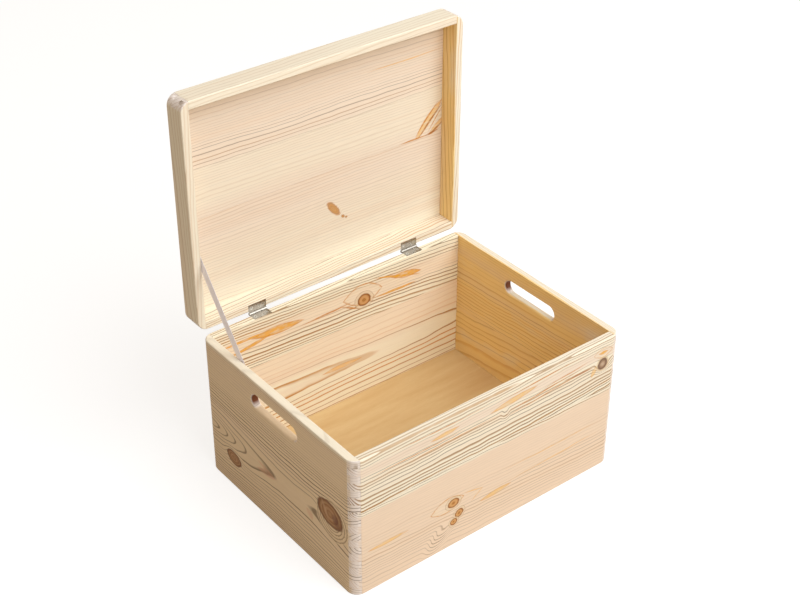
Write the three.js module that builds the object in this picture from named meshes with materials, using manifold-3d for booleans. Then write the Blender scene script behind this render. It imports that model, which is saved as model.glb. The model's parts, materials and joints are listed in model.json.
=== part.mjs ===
/**
 * A lidded kindling box of finger-jointed pine, standing open.
 *
 * Units are millimetres, +Z is up. The box's length runs along X, its front faces -Y and the
 * hinges are at +Y. The walls stand on Z = 0, and the origin is the middle of the ground that
 * the open box covers. Inside the model everything is first placed about the middle of the
 * closed box, the lid is then swung open about the hinge pins, and the whole is centred last.
 */
import * as THREE from 'three';
import { mergeVertices } from 'three/addons/utils/BufferGeometryUtils.js';
import Module from 'manifold-3d';

const wasm = await Module();
wasm.setup();

// ---------------------------------------------------------------- driving dimensions

// The carcass
const LENGTH = 400;
const DEPTH = 300;
const BODY_HEIGHT = 195;
const WALL = 10.5;
const CORNER_RADIUS = 14; // upright corners, rounded after glue-up
const ARRIS_RADIUS = 1.5; // outer edges of the rims
const RIM_EASE = 0.8; // inner edges of the rims
const GLUE_GAP = 0.2; // between glued faces
const FINGER_PITCH = 10; // height of one finger, before it is fitted to the board

// Edge-glued staves: how high each wall's glue line lies
const FRONT_GLUE_LINE = 121;
const BACK_GLUE_LINE = 127;
const LEFT_GLUE_LINE = 74;
const RIGHT_GLUE_LINE = 86;

// Floor, caught in a groove all round
const FLOOR_THICKNESS = 4;
const FLOOR_LIFT = 8.5; // ground to the underside of the groove
const GROOVE_DEPTH = 5;

// Hand slots
const SLOT_LENGTH = 95; // at the face of the board
const SLOT_HEIGHT = 24.5;
const SLOT_EASE = 2.5; // radius worked round both mouths
const SLOT_DROP = 29.5; // rim to the middle of the slot

// Lid
const LID_HEIGHT = 30;
const LID_GAP = 0.6; // between the rims when shut
const LID_OPEN_DEG = 90;
const PANEL_THICKNESS = 4.5;
const PANEL_SEAT = 5.25; // how far the panel lies over each rail
const PANEL_GLUE_LINES = [-46.5, 15.5]; // from the middle of the lid, front to back

// Hinges: small butts with rolled knuckles, let into both rims
const HINGE_SPACING = 234; // middle to middle
const HINGE_BACKSET = 3.1; // pin behind the back face
const HINGE_LENGTH = 25;
const LEAF_REACH = 12.5; // pin to the edge of the leaf
const LEAF_THICKNESS = 0.8;
const LEAF_CORNER = 0.8;
const KNUCKLES = 3;
const KNUCKLE_GAP = 0.25;
const EYE_RADIUS = 1.2; // bore of the rolled knuckle
const EYE_SLIT = 0.25; // between the end of the roll and its leaf
const PIN_CLEARANCE = 0.07;
const PIN_STUB = 0.4; // how far the pin stands out of the knuckles
const MORTISE_CLEARANCE = 0.25;

// Countersunk screws, two in each leaf
const SCREW_SPACING = 17;
const SCREW_HEAD_RADIUS = 2.3;
const SCREW_SHANK_RADIUS = 1.15;
const SCREW_LENGTH = 9;
const SCREW_POINT = 2;
const SCREW_SINK = 0.05; // head below the face of the leaf
const HOLE_CLEARANCE = 0.15;

// Ribbon that stops the lid, tacked inside the left end
const RIBBON_WIDTH = 12.5;
const RIBBON_THICKNESS = 0.5;
const RIBBON_HEM = 9; // turned-back end, of double thickness
const RIBBON_TAIL = 5; // ribbon beyond each tack
const RIBBON_BOX_REACH = 84; // pin to the tack in the box, forwards
const RIBBON_LID_REACH = 112; // pin to the tack in the lid, forwards when shut
const RIBBON_INSET = 15; // tacks from the rims
const SEAT_GAP = 0.3; // ribbon to wood, tack to ribbon
const TACK_HEAD_RADIUS = 3;
const TACK_HEAD_HEIGHT = 0.9;
const TACK_HEAD_RIM = 0.35; // height of the head's edge, below its dome
const TACK_SHANK_RADIUS = 0.8;
const TACK_LENGTH = 8;

// Facets
const CORNER_STEPS = 7; // for each quarter of an upright corner
const SLOT_STEPS = 8; // for each quarter of a slot's end
const EASE_STEPS = 3; // across a rounded edge
const TURNED_STEPS = 20; // round a screw, pin, tack or knuckle
const CUT_MARGIN = 1; // how far a cutter runs past what it cuts

// ---------------------------------------------------------------- worked-out places

const LEFT_INSIDE = -LENGTH / 2 + WALL;
const SLOT_LEVEL = BODY_HEIGHT - SLOT_DROP;
const PIN_Y = DEPTH / 2 + HINGE_BACKSET;
const PIN_Z = BODY_HEIGHT + LID_GAP / 2;
const KNUCKLE_RADIUS = EYE_RADIUS + LEAF_THICKNESS;
const LEAF_START = KNUCKLE_RADIUS + KNUCKLE_GAP; // pin to the inner edge of the leaf
const SCREW_REACH = (HINGE_BACKSET + LEAF_REACH) / 2; // middle of the leaf that lies on wood

// ---------------------------------------------------------------- finishes

const pine = (colour) => new THREE.MeshStandardMaterial({ color: colour, roughness: 0.62, metalness: 0 });
const PINE_FRONT = pine('#eed6bc');
const PINE_BACK = pine('#f2dcb4');
const PINE_LEFT = pine('#e6cba6');
const PINE_RIGHT = pine('#e9cda2');
const PINE_LID = pine('#f0dcc0');
const PINE_PANEL = pine('#f2dec2');
const PLYWOOD = new THREE.MeshStandardMaterial({ color: '#ead2ae', roughness: 0.7, metalness: 0 });
const NICKEL = new THREE.MeshStandardMaterial({ color: '#cdc8c0', roughness: 0.25, metalness: 1 });
const SCREW_STEEL = new THREE.MeshStandardMaterial({ color: '#c4c0b8', roughness: 0.35, metalness: 1 });
const RIBBON_CLOTH = new THREE.MeshStandardMaterial({ color: '#c8bcc2', roughness: 0.8, metalness: 0 });

// ---------------------------------------------------------------- solids

/** Joins a geometry's shared vertices, drops collapsed triangles and makes it a solid. */
function solid(geometry) {
  const bare = geometry.clone();
  bare.deleteAttribute('normal');
  bare.deleteAttribute('uv');
  const merged = mergeVertices(bare);
  const triangles = [];
  const corners = merged.index.array;
  for (let i = 0; i < corners.length; i += 3) {
    const [a, b, c] = corners.slice(i, i + 3);
    if (a !== b && b !== c && c !== a) triangles.push(a, b, c);
  }
  return new wasm.Manifold(new wasm.Mesh({
    numProp: 3,
    vertProperties: new Float32Array(merged.attributes.position.array),
    triVerts: new Uint32Array(triangles),
  }));
}

/** A named mesh from a solid. */
function meshOf(name, body, material) {
  const { vertProperties, triVerts } = body.getMesh();
  const geometry = new THREE.BufferGeometry();
  geometry.setAttribute('position', new THREE.BufferAttribute(new Float32Array(vertProperties), 3));
  geometry.setIndex(new THREE.BufferAttribute(new Uint32Array(triVerts), 1));
  geometry.computeVertexNormals();
  const mesh = new THREE.Mesh(geometry, material);
  mesh.name = name;
  return mesh;
}

/** A box between two corners. */
function boxBetween(low, high) {
  const size = high.map((value, axis) => value - low[axis]);
  const middle = high.map((value, axis) => (value + low[axis]) / 2);
  return new THREE.BoxGeometry(...size).translate(...middle);
}

/** Turns a geometry drawn in XY and raised along Z so that X, Y, Z become Y, Z, X. */
function uprightAlongY(geometry) {
  const [x, y, z] = [new THREE.Vector3(1, 0, 0), new THREE.Vector3(0, 1, 0), new THREE.Vector3(0, 0, 1)];
  return geometry.applyMatrix4(new THREE.Matrix4().makeBasis(y, z, x));
}

/** Corners of a rectangle about the origin, each a quarter circle unless the radius is zero. */
function roundedRectangle(length, width, radius, steps) {
  const points = [];
  const turns = radius > 0 ? steps : 0;
  for (let corner = 0; corner < 4; corner++) {
    const across = corner === 0 || corner === 3 ? 1 : -1;
    const along = corner < 2 ? 1 : -1;
    for (let step = 0; step <= turns; step++) {
      const angle = (corner + step / Math.max(turns, 1)) * Math.PI / 2;
      points.push(new THREE.Vector2(
        across * (length / 2 - radius) + radius * Math.cos(angle),
        along * (width / 2 - radius) + radius * Math.sin(angle),
      ));
    }
  }
  return points;
}

/** An outline that can be grown evenly by an offset: its corners keep their centres. */
const growing = (length, width, radius, steps) => (offset) => roundedRectangle(
  length + 2 * offset, width + 2 * offset, radius > 0 ? radius + offset : 0, steps,
);

/** A closed body through a growing outline at each [height, offset]. */
function loft(outline, levels) {
  const rings = levels.map(([height, offset]) => outline(offset).map((p) => [p.x, p.y, height]));
  const count = rings[0].length;
  const last = (rings.length - 1) * count;
  const index = [];
  for (let start = 0; start < last; start += count) {
    for (let i = 0; i < count; i++) {
      const [a, b] = [start + i, start + (i + 1) % count];
      index.push(a, b, b + count, a, b + count, a + count);
    }
  }
  for (let i = 1; i < count - 1; i++) index.push(0, i + 1, i, last, last + i, last + i + 1);
  const geometry = new THREE.BufferGeometry();
  geometry.setAttribute('position', new THREE.Float32BufferAttribute(rings.flat(2), 3));
  geometry.setIndex(index);
  return geometry;
}

/**
 * Levels of a quarter-round edge, from the side of a body to its end face at `edge`. Direction is
 * 1 for an upper end and -1 for a lower one. Growth is -1 where the body draws in, as at an outer
 * edge, and 1 where it opens out, as a cutter does that leaves a rounded mouth.
 */
function roundedEdge(edge, radius, direction, growth) {
  return Array.from({ length: EASE_STEPS + 1 }, (_, step) => {
    const angle = step / EASE_STEPS * Math.PI / 2;
    const below = radius * (1 - Math.sin(angle));
    return [edge - direction * below, growth * radius * (1 - Math.cos(angle))];
  });
}

/** A body turned about Z from a profile of [radius, height] points, lowest first. */
function turned(profile) {
  const points = profile.map(([radius, height]) => new THREE.Vector2(radius, height));
  return new THREE.LatheGeometry(points, TURNED_STEPS).rotateX(Math.PI / 2);
}

/** Points on a circle from one angle to another, without the first angle's exact repeat. */
function arcPoints(radius, from, to) {
  const steps = Math.max(2, Math.ceil(Math.abs(to - from) / (2 * Math.PI) * TURNED_STEPS));
  return Array.from({ length: steps + 1 }, (_, step) => {
    const angle = from + (to - from) * step / steps;
    return new THREE.Vector2(radius * Math.cos(angle), radius * Math.sin(angle));
  });
}

// ---------------------------------------------------------------- finger-jointed frames

/** How many fingers fit a height: the odd number whose pitch comes nearest to FINGER_PITCH. */
const fingerCount = (height) => 2 * Math.max(1, Math.round((height / FINGER_PITCH - 1) / 2)) + 1;

/**
 * One end of a board as [reach, height] points from bottom to top. Where a finger runs through
 * the corner it reaches `long`, and between fingers the board stops at `short`. Each finger is
 * narrower than its row by the glue gap.
 */
function fingeredEnd(height, bottom, top, long, short, fingersOnEvenRows) {
  const rows = fingerCount(height);
  const pitch = height / rows;
  const points = [];
  for (let row = 0; row < rows; row++) {
    const isFinger = (row % 2 === 0) === fingersOnEvenRows;
    const shrink = (isFinger ? 1 : -1) * GLUE_GAP / 2;
    const low = Math.max(bottom, row === 0 ? 0 : row * pitch + shrink);
    const high = Math.min(top, row === rows - 1 ? height : (row + 1) * pitch - shrink);
    if (high <= low) continue;
    const reach = isFinger ? long : short;
    points.push([reach, low], [reach, high]);
  }
  return points;
}

/** The four walls of a rim as flat boards with fingers, before their outsides are rounded. */
const WALLS = {
  front: { span: LENGTH, alongY: false, start: -DEPTH / 2 - CUT_MARGIN },
  back: { span: LENGTH, alongY: false, start: DEPTH / 2 - WALL },
  left: { span: DEPTH, alongY: true, start: -LENGTH / 2 - CUT_MARGIN },
  right: { span: DEPTH, alongY: true, start: LENGTH / 2 - WALL },
};

/** One stave of a wall, between two heights of a frame. The end walls have the outer fingers. */
function rawStave(wall, height, bottom, top) {
  const { span, alongY, start } = WALLS[wall];
  const long = span / 2 + CUT_MARGIN;
  const short = span / 2 - WALL - GLUE_GAP;
  const end = fingeredEnd(height, bottom, top, long, short, alongY);
  const outline = [
    ...end.map(([reach, level]) => new THREE.Vector2(reach, level)),
    ...end.toReversed().map(([reach, level]) => new THREE.Vector2(-reach, level)),
  ];
  const thickness = WALL + CUT_MARGIN;
  const board = new THREE.ExtrudeGeometry(new THREE.Shape(outline), { depth: thickness, bevelEnabled: false });
  if (alongY) return uprightAlongY(board).translate(start, 0, 0);
  return board.rotateX(Math.PI / 2).translate(0, start + thickness, 0);
}

/** Rounds each raw stave by the frame's common envelope and makes the cuts in it. */
function frameMeshes(height, envelope, cuts, staves) {
  return staves.map(({ name, wall, bottom, top, material }) => {
    const board = solid(rawStave(wall, height, bottom, top));
    return meshOf(name, board.intersect(envelope).subtract(cuts), material);
  });
}

const outside = growing(LENGTH, DEPTH, CORNER_RADIUS, CORNER_STEPS);
const inside = growing(LENGTH - 2 * WALL, DEPTH - 2 * WALL, 0, 0);

/** The rounded outside that all boards of one frame share. */
const envelopeOf = (height) => solid(loft(outside, [
  ...roundedEdge(0, ARRIS_RADIUS, -1, -1).toReversed(),
  ...roundedEdge(height, ARRIS_RADIUS, 1, -1),
]));

/** The seat of a floor or panel that reaches `seat` into the walls, its corners routed round. */
const seatOutline = (seat) => (offset) => outside(offset - WALL + seat);

const unionOf = (geometries) => geometries.map(solid).reduce((whole, piece) => whole.add(piece));

// ---------------------------------------------------------------- hardware shapes

/** A countersunk screw, head up at Z = 0, grown all round by `extra` to cut its own hole. */
function screwShape(extra) {
  const neck = SCREW_HEAD_RADIUS - SCREW_SHANK_RADIUS;
  const profile = [
    [0, -SCREW_LENGTH - extra],
    [SCREW_SHANK_RADIUS + extra, -SCREW_LENGTH + SCREW_POINT],
    [SCREW_SHANK_RADIUS + extra, -neck],
    [SCREW_HEAD_RADIUS + extra, 0],
  ];
  if (extra === 0) return turned([...profile, [0, 0]]);
  return turned([...profile, [SCREW_HEAD_RADIUS + extra, CUT_MARGIN], [0, CUT_MARGIN]]);
}

/** A flat-headed tack, shank down and the underside of its head at Z = 0. */
function tackShape(extra) {
  const profile = [
    [0, -TACK_LENGTH - extra],
    [TACK_SHANK_RADIUS + extra, -TACK_LENGTH + 2 * TACK_SHANK_RADIUS],
  ];
  if (extra > 0) {
    return turned([...profile, [TACK_SHANK_RADIUS + extra, CUT_MARGIN], [0, CUT_MARGIN]]);
  }
  const dome = Array.from({ length: EASE_STEPS + 1 }, (_, step) => {
    const angle = step / EASE_STEPS * Math.PI / 2;
    const rise = (TACK_HEAD_HEIGHT - TACK_HEAD_RIM) * Math.sin(angle);
    return [step < EASE_STEPS ? TACK_HEAD_RADIUS * Math.cos(angle) : 0, TACK_HEAD_RIM + rise];
  });
  return turned([...profile, [TACK_SHANK_RADIUS, 0], [TACK_HEAD_RADIUS, 0], ...dome]);
}

/** The places of one leaf's screws along the pin, from the middle of the hinge. */
const screwPlaces = [-SCREW_SPACING / 2, SCREW_SPACING / 2];

/**
 * Section of a rolled knuckle with its strip of leaf, in the plane across the pin. The strip
 * runs to -Y, below the pin for side = -1 and above it for side = 1; its face lies flush with
 * the rim, half the lid gap from the pin. The strip is rolled round the pin until its end
 * stands just clear of its own face.
 */
function knuckleSection(side) {
  const face = -LID_GAP / 2;
  const under = face - LEAF_THICKNESS;
  const eyeStart = Math.asin(face / EYE_RADIUS);
  const rollEnd = Math.asin((face + EYE_SLIT) / KNUCKLE_RADIUS) - 2 * Math.PI;
  const rollStart = Math.asin(under / KNUCKLE_RADIUS);
  const points = [
    new THREE.Vector2(LEAF_REACH / 2, under),
    new THREE.Vector2(LEAF_REACH / 2, face),
    ...arcPoints(EYE_RADIUS, eyeStart, rollEnd),
    ...arcPoints(KNUCKLE_RADIUS, rollEnd, rollStart),
  ];
  return new THREE.Shape(points.map((p) => new THREE.Vector2(-p.x, -side * p.y)));
}

/** One leaf: a drilled plate with every second knuckle, the box leaf having the outer ones. */
function hingeLeaf(side) {
  const pitch = HINGE_LENGTH / KNUCKLES;
  const plateWidth = LEAF_REACH - LEAF_START;
  const rimFace = side * LID_GAP / 2;
  const farFace = rimFace + side * LEAF_THICKNESS;
  const plate = loft(growing(HINGE_LENGTH, plateWidth, LEAF_CORNER, EASE_STEPS), [
    [Math.min(rimFace, farFace), 0],
    [Math.max(rimFace, farFace), 0],
  ]).translate(0, -LEAF_START - plateWidth / 2, 0);
  let leaf = solid(plate);
  for (let knuckle = side < 0 ? 0 : 1; knuckle < KNUCKLES; knuckle += 2) {
    const low = knuckle === 0 ? 0 : KNUCKLE_GAP / 2;
    const high = knuckle === KNUCKLES - 1 ? pitch : pitch - KNUCKLE_GAP / 2;
    const roll = new THREE.ExtrudeGeometry(knuckleSection(side), { depth: high - low, bevelEnabled: false });
    const start = -HINGE_LENGTH / 2 + knuckle * pitch + low;
    leaf = leaf.add(solid(uprightAlongY(roll).translate(start, 0, 0)));
  }
  const holes = unionOf(screwPlaces.map((x) => screwInLeaf(side, x, HOLE_CLEARANCE)));
  return leaf.subtract(holes);
}

/** A screw, or its hole, in place in a leaf whose pin lies on the X axis. */
function screwInLeaf(side, x, extra) {
  const screw = screwShape(extra);
  if (side > 0) screw.rotateX(Math.PI);
  return screw.translate(x, -SCREW_REACH, side * (LID_GAP / 2 + SCREW_SINK));
}

/** The shallow mortise that one leaf lies in, about the same axis. */
function leafMortise(side) {
  const rimFace = side * LID_GAP / 2;
  const low = Math.min(-side * CUT_MARGIN, rimFace + side * (LEAF_THICKNESS + MORTISE_CLEARANCE));
  const high = Math.max(-side * CUT_MARGIN, rimFace + side * (LEAF_THICKNESS + MORTISE_CLEARANCE));
  const half = HINGE_LENGTH / 2 + MORTISE_CLEARANCE;
  return boxBetween(
    [-half, -LEAF_REACH - MORTISE_CLEARANCE, low],
    [half, CUT_MARGIN - HINGE_BACKSET, high],
  );
}

const hinges = [
  { name: 'hinge_left', x: -HINGE_SPACING / 2 },
  { name: 'hinge_right', x: HINGE_SPACING / 2 },
];

/** Cutters for one side's mortises and screw holes, about the pin. */
const hingeCuts = (side) => hinges.flatMap(({ x }) => [
  leafMortise(side).translate(x, 0, 0),
  ...screwPlaces.map((place) => screwInLeaf(side, x + place, HOLE_CLEARANCE)),
]);

// ---------------------------------------------------------------- ribbon

const openLid = -THREE.MathUtils.degToRad(LID_OPEN_DEG);
const shutLidTack = new THREE.Vector3(0, -RIBBON_LID_REACH, LID_GAP / 2 + RIBBON_INSET);
const boxTack = new THREE.Vector3(LEFT_INSIDE, PIN_Y - RIBBON_BOX_REACH, BODY_HEIGHT - RIBBON_INSET);
const lidTack = shutLidTack.clone().applyAxisAngle(new THREE.Vector3(1, 0, 0), openLid)
  .add(new THREE.Vector3(LEFT_INSIDE, PIN_Y, PIN_Z));

/** A tack, or its hole, driven into a wall that faces +X, at the mouth of its hole. */
const tackInWall = (extra) => tackShape(extra).rotateY(Math.PI / 2);

/** The ribbon, drawn tight from tack to tack, both ends turned back under the heads. */
function ribbonSolid() {
  const pull = new THREE.Vector3().subVectors(lidTack, boxTack);
  const half = pull.length() / 2 + RIBBON_TAIL;
  const [thin, thick] = [RIBBON_THICKNESS, 2 * RIBBON_THICKNESS];
  const section = new THREE.Shape([
    new THREE.Vector2(-half, 0),
    new THREE.Vector2(half, 0),
    new THREE.Vector2(half, thick),
    new THREE.Vector2(half - RIBBON_HEM, thick),
    new THREE.Vector2(half - RIBBON_HEM, thin),
    new THREE.Vector2(RIBBON_HEM - half, thin),
    new THREE.Vector2(RIBBON_HEM - half, thick),
    new THREE.Vector2(-half, thick),
  ]);
  const strip = new THREE.ExtrudeGeometry(section, { depth: RIBBON_WIDTH, bevelEnabled: false })
    .translate(0, 0, -RIBBON_WIDTH / 2);
  const away = new THREE.Vector3(1, 0, 0);
  const along = pull.clone().normalize();
  const middle = new THREE.Vector3().addVectors(boxTack, lidTack).multiplyScalar(0.5)
    .addScaledVector(away, SEAT_GAP);
  const place = new THREE.Matrix4()
    .makeBasis(along, away, new THREE.Vector3().crossVectors(along, away))
    .setPosition(middle);
  const holes = unionOf([boxTack, lidTack].map((tack) => new THREE.CylinderGeometry(
    TACK_SHANK_RADIUS + HOLE_CLEARANCE, TACK_SHANK_RADIUS + HOLE_CLEARANCE,
    2 * CUT_MARGIN + 2 * thick, TURNED_STEPS,
  ).rotateZ(Math.PI / 2).translate(tack.x, tack.y, tack.z)));
  return solid(strip.applyMatrix4(place)).subtract(holes);
}

/** Wall to the underside of a tack's head. */
const tackStand = SEAT_GAP + 2 * RIBBON_THICKNESS + SEAT_GAP;

// ---------------------------------------------------------------- the box

/** A cutter for a hand slot through an end wall, opened to both faces by rounded mouths. */
function handSlot(wallStart) {
  const throat = growing(SLOT_HEIGHT - 2 * SLOT_EASE, SLOT_LENGTH - 2 * SLOT_EASE,
    SLOT_HEIGHT / 2 - SLOT_EASE, SLOT_STEPS);
  const cutter = loft(throat, [
    [-CUT_MARGIN, SLOT_EASE],
    ...roundedEdge(0, SLOT_EASE, -1, 1).toReversed(),
    ...roundedEdge(WALL, SLOT_EASE, 1, 1),
    [WALL + CUT_MARGIN, SLOT_EASE],
  ]);
  return cutter.rotateY(Math.PI / 2).translate(wallStart, 0, SLOT_LEVEL);
}

function buildBox() {
  const cuts = unionOf([
    loft(inside, [...roundedEdge(BODY_HEIGHT, RIM_EASE, 1, 1), [BODY_HEIGHT + CUT_MARGIN, RIM_EASE]]),
    loft(seatOutline(GROOVE_DEPTH), [[FLOOR_LIFT, 0], [FLOOR_LIFT + FLOOR_THICKNESS + 2 * GLUE_GAP, 0]]),
    handSlot(-LENGTH / 2),
    handSlot(LENGTH / 2 - WALL),
    ...hingeCuts(-1).map((cut) => cut.translate(0, PIN_Y, PIN_Z)),
    tackInWall(HOLE_CLEARANCE).translate(boxTack.x, boxTack.y, boxTack.z),
  ]);
  const wallStaves = [
    ['front_board', 'front', FRONT_GLUE_LINE, PINE_FRONT],
    ['back_board', 'back', BACK_GLUE_LINE, PINE_BACK],
    ['left_end', 'left', LEFT_GLUE_LINE, PINE_LEFT],
    ['right_end', 'right', RIGHT_GLUE_LINE, PINE_RIGHT],
  ].flatMap(([name, wall, glueLine, material]) => [
    { name: `${name}_lower`, wall, bottom: 0, top: glueLine - GLUE_GAP / 2, material },
    { name: `${name}_upper`, wall, bottom: glueLine + GLUE_GAP / 2, top: BODY_HEIGHT, material },
  ]);

  const box = new THREE.Group();
  box.add(...frameMeshes(BODY_HEIGHT, envelopeOf(BODY_HEIGHT), cuts, wallStaves));
  const floorBottom = FLOOR_LIFT + GLUE_GAP;
  const floor = loft(seatOutline(GROOVE_DEPTH), [
    [floorBottom, -GLUE_GAP],
    [floorBottom + FLOOR_THICKNESS, -GLUE_GAP],
  ]);
  box.add(meshOf('floor_panel', solid(floor), PLYWOOD));
  return box;
}

// ---------------------------------------------------------------- the lid, as if shut

function buildLid() {
  const lid = new THREE.Group();
  const seatLevel = LID_HEIGHT - PANEL_THICKNESS - GLUE_GAP;
  const toPin = [0, PIN_Y, -LID_GAP / 2];
  const cuts = unionOf([
    loft(inside, [[-CUT_MARGIN, RIM_EASE], ...roundedEdge(0, RIM_EASE, -1, 1).toReversed()]),
    loft(seatOutline(PANEL_SEAT), [[seatLevel, 0], [LID_HEIGHT + CUT_MARGIN, 0]]),
    ...hingeCuts(1).map((cut) => cut.translate(...toPin)),
    tackInWall(HOLE_CLEARANCE).translate(LEFT_INSIDE, PIN_Y - RIBBON_LID_REACH, RIBBON_INSET),
  ]);
  const rails = ['front', 'back', 'left', 'right'].map((wall) => (
    { name: `lid_${wall}_rail`, wall, bottom: 0, top: LID_HEIGHT, material: PINE_LID }
  ));
  lid.add(...frameMeshes(LID_HEIGHT, envelopeOf(LID_HEIGHT), cuts, rails));

  const panel = solid(loft(seatOutline(PANEL_SEAT), [
    [LID_HEIGHT - PANEL_THICKNESS, -GLUE_GAP],
    [LID_HEIGHT, -GLUE_GAP],
  ]));
  const edges = [-DEPTH / 2, ...PANEL_GLUE_LINES, DEPTH / 2];
  const names = ['lid_panel_front_stave', 'lid_panel_middle_stave', 'lid_panel_back_stave'];
  names.forEach((name, i) => {
    const stave = boxBetween(
      [-LENGTH / 2, edges[i] + GLUE_GAP / 2, 0],
      [LENGTH / 2, edges[i + 1] - GLUE_GAP / 2, LID_HEIGHT + CUT_MARGIN],
    );
    lid.add(meshOf(name, panel.intersect(solid(stave)), PINE_PANEL));
  });
  lid.position.set(0, -PIN_Y, LID_GAP / 2);
  return lid;
}

// ---------------------------------------------------------------- hinges, screws and tacks

/** A leaf and its two screws, about the pin. */
function leafGroup(hinge, part, side) {
  const group = new THREE.Group();
  group.add(meshOf(`${hinge.name}_${part}_leaf`, hingeLeaf(side), NICKEL));
  screwPlaces.forEach((x, i) => {
    const screw = screwInLeaf(side, x, 0);
    group.add(meshOf(`${hinge.name}_${part}_screw_${i + 1}`, solid(screw), SCREW_STEEL));
  });
  group.position.x = hinge.x;
  return group;
}

/** The pin of one hinge, with eased ends that stand a little out of the knuckles. */
function hingePin(hinge) {
  const radius = EYE_RADIUS - PIN_CLEARANCE;
  const half = HINGE_LENGTH / 2 + PIN_STUB;
  const pin = turned([
    [0, -half],
    [radius - PIN_STUB, -half],
    [radius, -half + PIN_STUB],
    [radius, half - PIN_STUB],
    [radius - PIN_STUB, half],
    [0, half],
  ]);
  return meshOf(`${hinge.name}_pin`, solid(pin.rotateY(Math.PI / 2).translate(hinge.x, 0, 0)), NICKEL);
}

function tackMesh(name, y, z) {
  const tack = tackInWall(0).translate(LEFT_INSIDE + tackStand, y, z);
  return meshOf(name, solid(tack), SCREW_STEEL);
}

// ---------------------------------------------------------------- assembly

const onPin = new THREE.Group();
onPin.position.set(0, PIN_Y, PIN_Z);

const swung = new THREE.Group();
swung.rotation.x = openLid;
swung.add(buildLid());
for (const hinge of hinges) {
  onPin.add(leafGroup(hinge, 'box', -1), hingePin(hinge));
  swung.add(leafGroup(hinge, 'lid', 1));
}
swung.add(tackMesh('ribbon_lid_tack', -RIBBON_LID_REACH, LID_GAP / 2 + RIBBON_INSET));
onPin.add(swung);

const model = new THREE.Group();
model.add(buildBox(), onPin);
model.add(meshOf('lid_ribbon', ribbonSolid(), RIBBON_CLOTH));
model.add(tackMesh('ribbon_box_tack', boxTack.y, boxTack.z));

// The origin is the middle of the ground under the open box.
const footprint = new THREE.Box3().setFromObject(model, true);
model.position.y = -(footprint.min.y + footprint.max.y) / 2;

export default model;
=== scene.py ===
# %% [markdown]
# # A kindling box of finger-jointed pine
#
# The box stands open: a carcass of edge-glued pine staves, a shallow lid on two small nickel
# hinges, and a ribbon that stops the lid. The construction is already fixed, piece by piece and
# at its real size. This lesson gives those pieces their looks. Wood is most of what the eye
# sees, so most of the lesson is one solid texture: rings round a pith, cut by the boards.

import json
import math

import bmesh
import bpy
import numpy as np
from mathutils import Matrix, Vector


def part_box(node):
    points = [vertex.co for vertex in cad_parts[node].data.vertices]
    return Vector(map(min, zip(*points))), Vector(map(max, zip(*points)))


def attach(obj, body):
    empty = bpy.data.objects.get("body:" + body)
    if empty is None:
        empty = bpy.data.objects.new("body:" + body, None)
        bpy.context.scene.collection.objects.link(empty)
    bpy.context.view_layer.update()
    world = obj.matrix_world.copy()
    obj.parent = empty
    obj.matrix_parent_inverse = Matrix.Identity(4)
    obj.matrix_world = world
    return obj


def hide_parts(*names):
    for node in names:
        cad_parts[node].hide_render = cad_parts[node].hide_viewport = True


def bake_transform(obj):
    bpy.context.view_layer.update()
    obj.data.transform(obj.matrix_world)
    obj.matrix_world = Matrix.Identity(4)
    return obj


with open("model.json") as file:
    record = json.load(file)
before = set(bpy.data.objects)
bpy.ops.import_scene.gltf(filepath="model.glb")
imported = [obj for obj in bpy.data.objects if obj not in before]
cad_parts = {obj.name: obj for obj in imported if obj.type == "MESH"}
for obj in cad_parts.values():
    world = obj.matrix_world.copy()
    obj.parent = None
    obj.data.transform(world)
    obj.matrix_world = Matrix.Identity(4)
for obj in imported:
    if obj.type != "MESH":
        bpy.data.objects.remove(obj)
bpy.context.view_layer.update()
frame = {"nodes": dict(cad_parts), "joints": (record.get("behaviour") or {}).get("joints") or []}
MM = 0.001  # everything in Blender is in metres

# %% [markdown]
# ## Where things are
#
# Every place in this file is measured from the frame. Knots and streaks are easiest to think
# of in millimetres from the middle of the box and from the ground, so the middle of the box is
# worked out once, from its front and back boards.

# %% The middle of the box
CENTRE_X = (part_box("left_end_lower")[0].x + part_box("right_end_lower")[1].x) / 2
CENTRE_Y = (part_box("front_board_lower")[0].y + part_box("back_board_lower")[1].y) / 2
HINGE_AXIS = Vector(frame["joints"][0]["pos_m"])


def middle(node):
    """The middle of a node's box."""
    low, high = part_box(node)
    return (low + high) / 2


print("box centre", round(CENTRE_X, 4), round(CENTRE_Y, 4), "hinge pin at", HINGE_AXIS[:])

# %% [markdown]
# ## The camera
#
# The photograph was taken from above the near left corner. A pin-hole camera fitted to the
# straight edges of the box gives the angles, the place and the focal length below.

# %% Camera
VIEW_AZIMUTH = math.radians(-38.34)
VIEW_ELEVATION = math.radians(33.66)
VIEW_ROLL = math.radians(0.22)
CAMERA_FROM_CENTRE = Vector((-0.9313, -1.1547, 1.2317))  # from the middle of the box's footprint
LENS_MM = 68.55


def view_axes(azimuth, elevation, roll):
    """Right, up and back of a camera: back = (sin a cos e, -cos a cos e, sin e), the rest square to it."""
    back = Vector((
        math.sin(azimuth) * math.cos(elevation),
        -math.cos(azimuth) * math.cos(elevation),
        math.sin(elevation),
    ))
    right = Vector((0, 0, 1)).cross(back).normalized()
    up = back.cross(right)
    turned_right = right * math.cos(roll) + up * math.sin(roll)
    return turned_right, back.cross(turned_right), back


camera = bpy.data.objects.new("camera", bpy.data.cameras.new("camera"))
camera.data.lens = LENS_MM
camera.matrix_world = (
    Matrix.Translation(CAMERA_FROM_CENTRE + Vector((CENTRE_X, CENTRE_Y, 0)))
    @ Matrix(view_axes(VIEW_AZIMUTH, VIEW_ELEVATION, VIEW_ROLL)).transposed().to_4x4()
)
bpy.context.scene.collection.objects.link(camera)
bpy.context.scene.camera = camera
print("camera at", camera.location[:])

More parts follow.
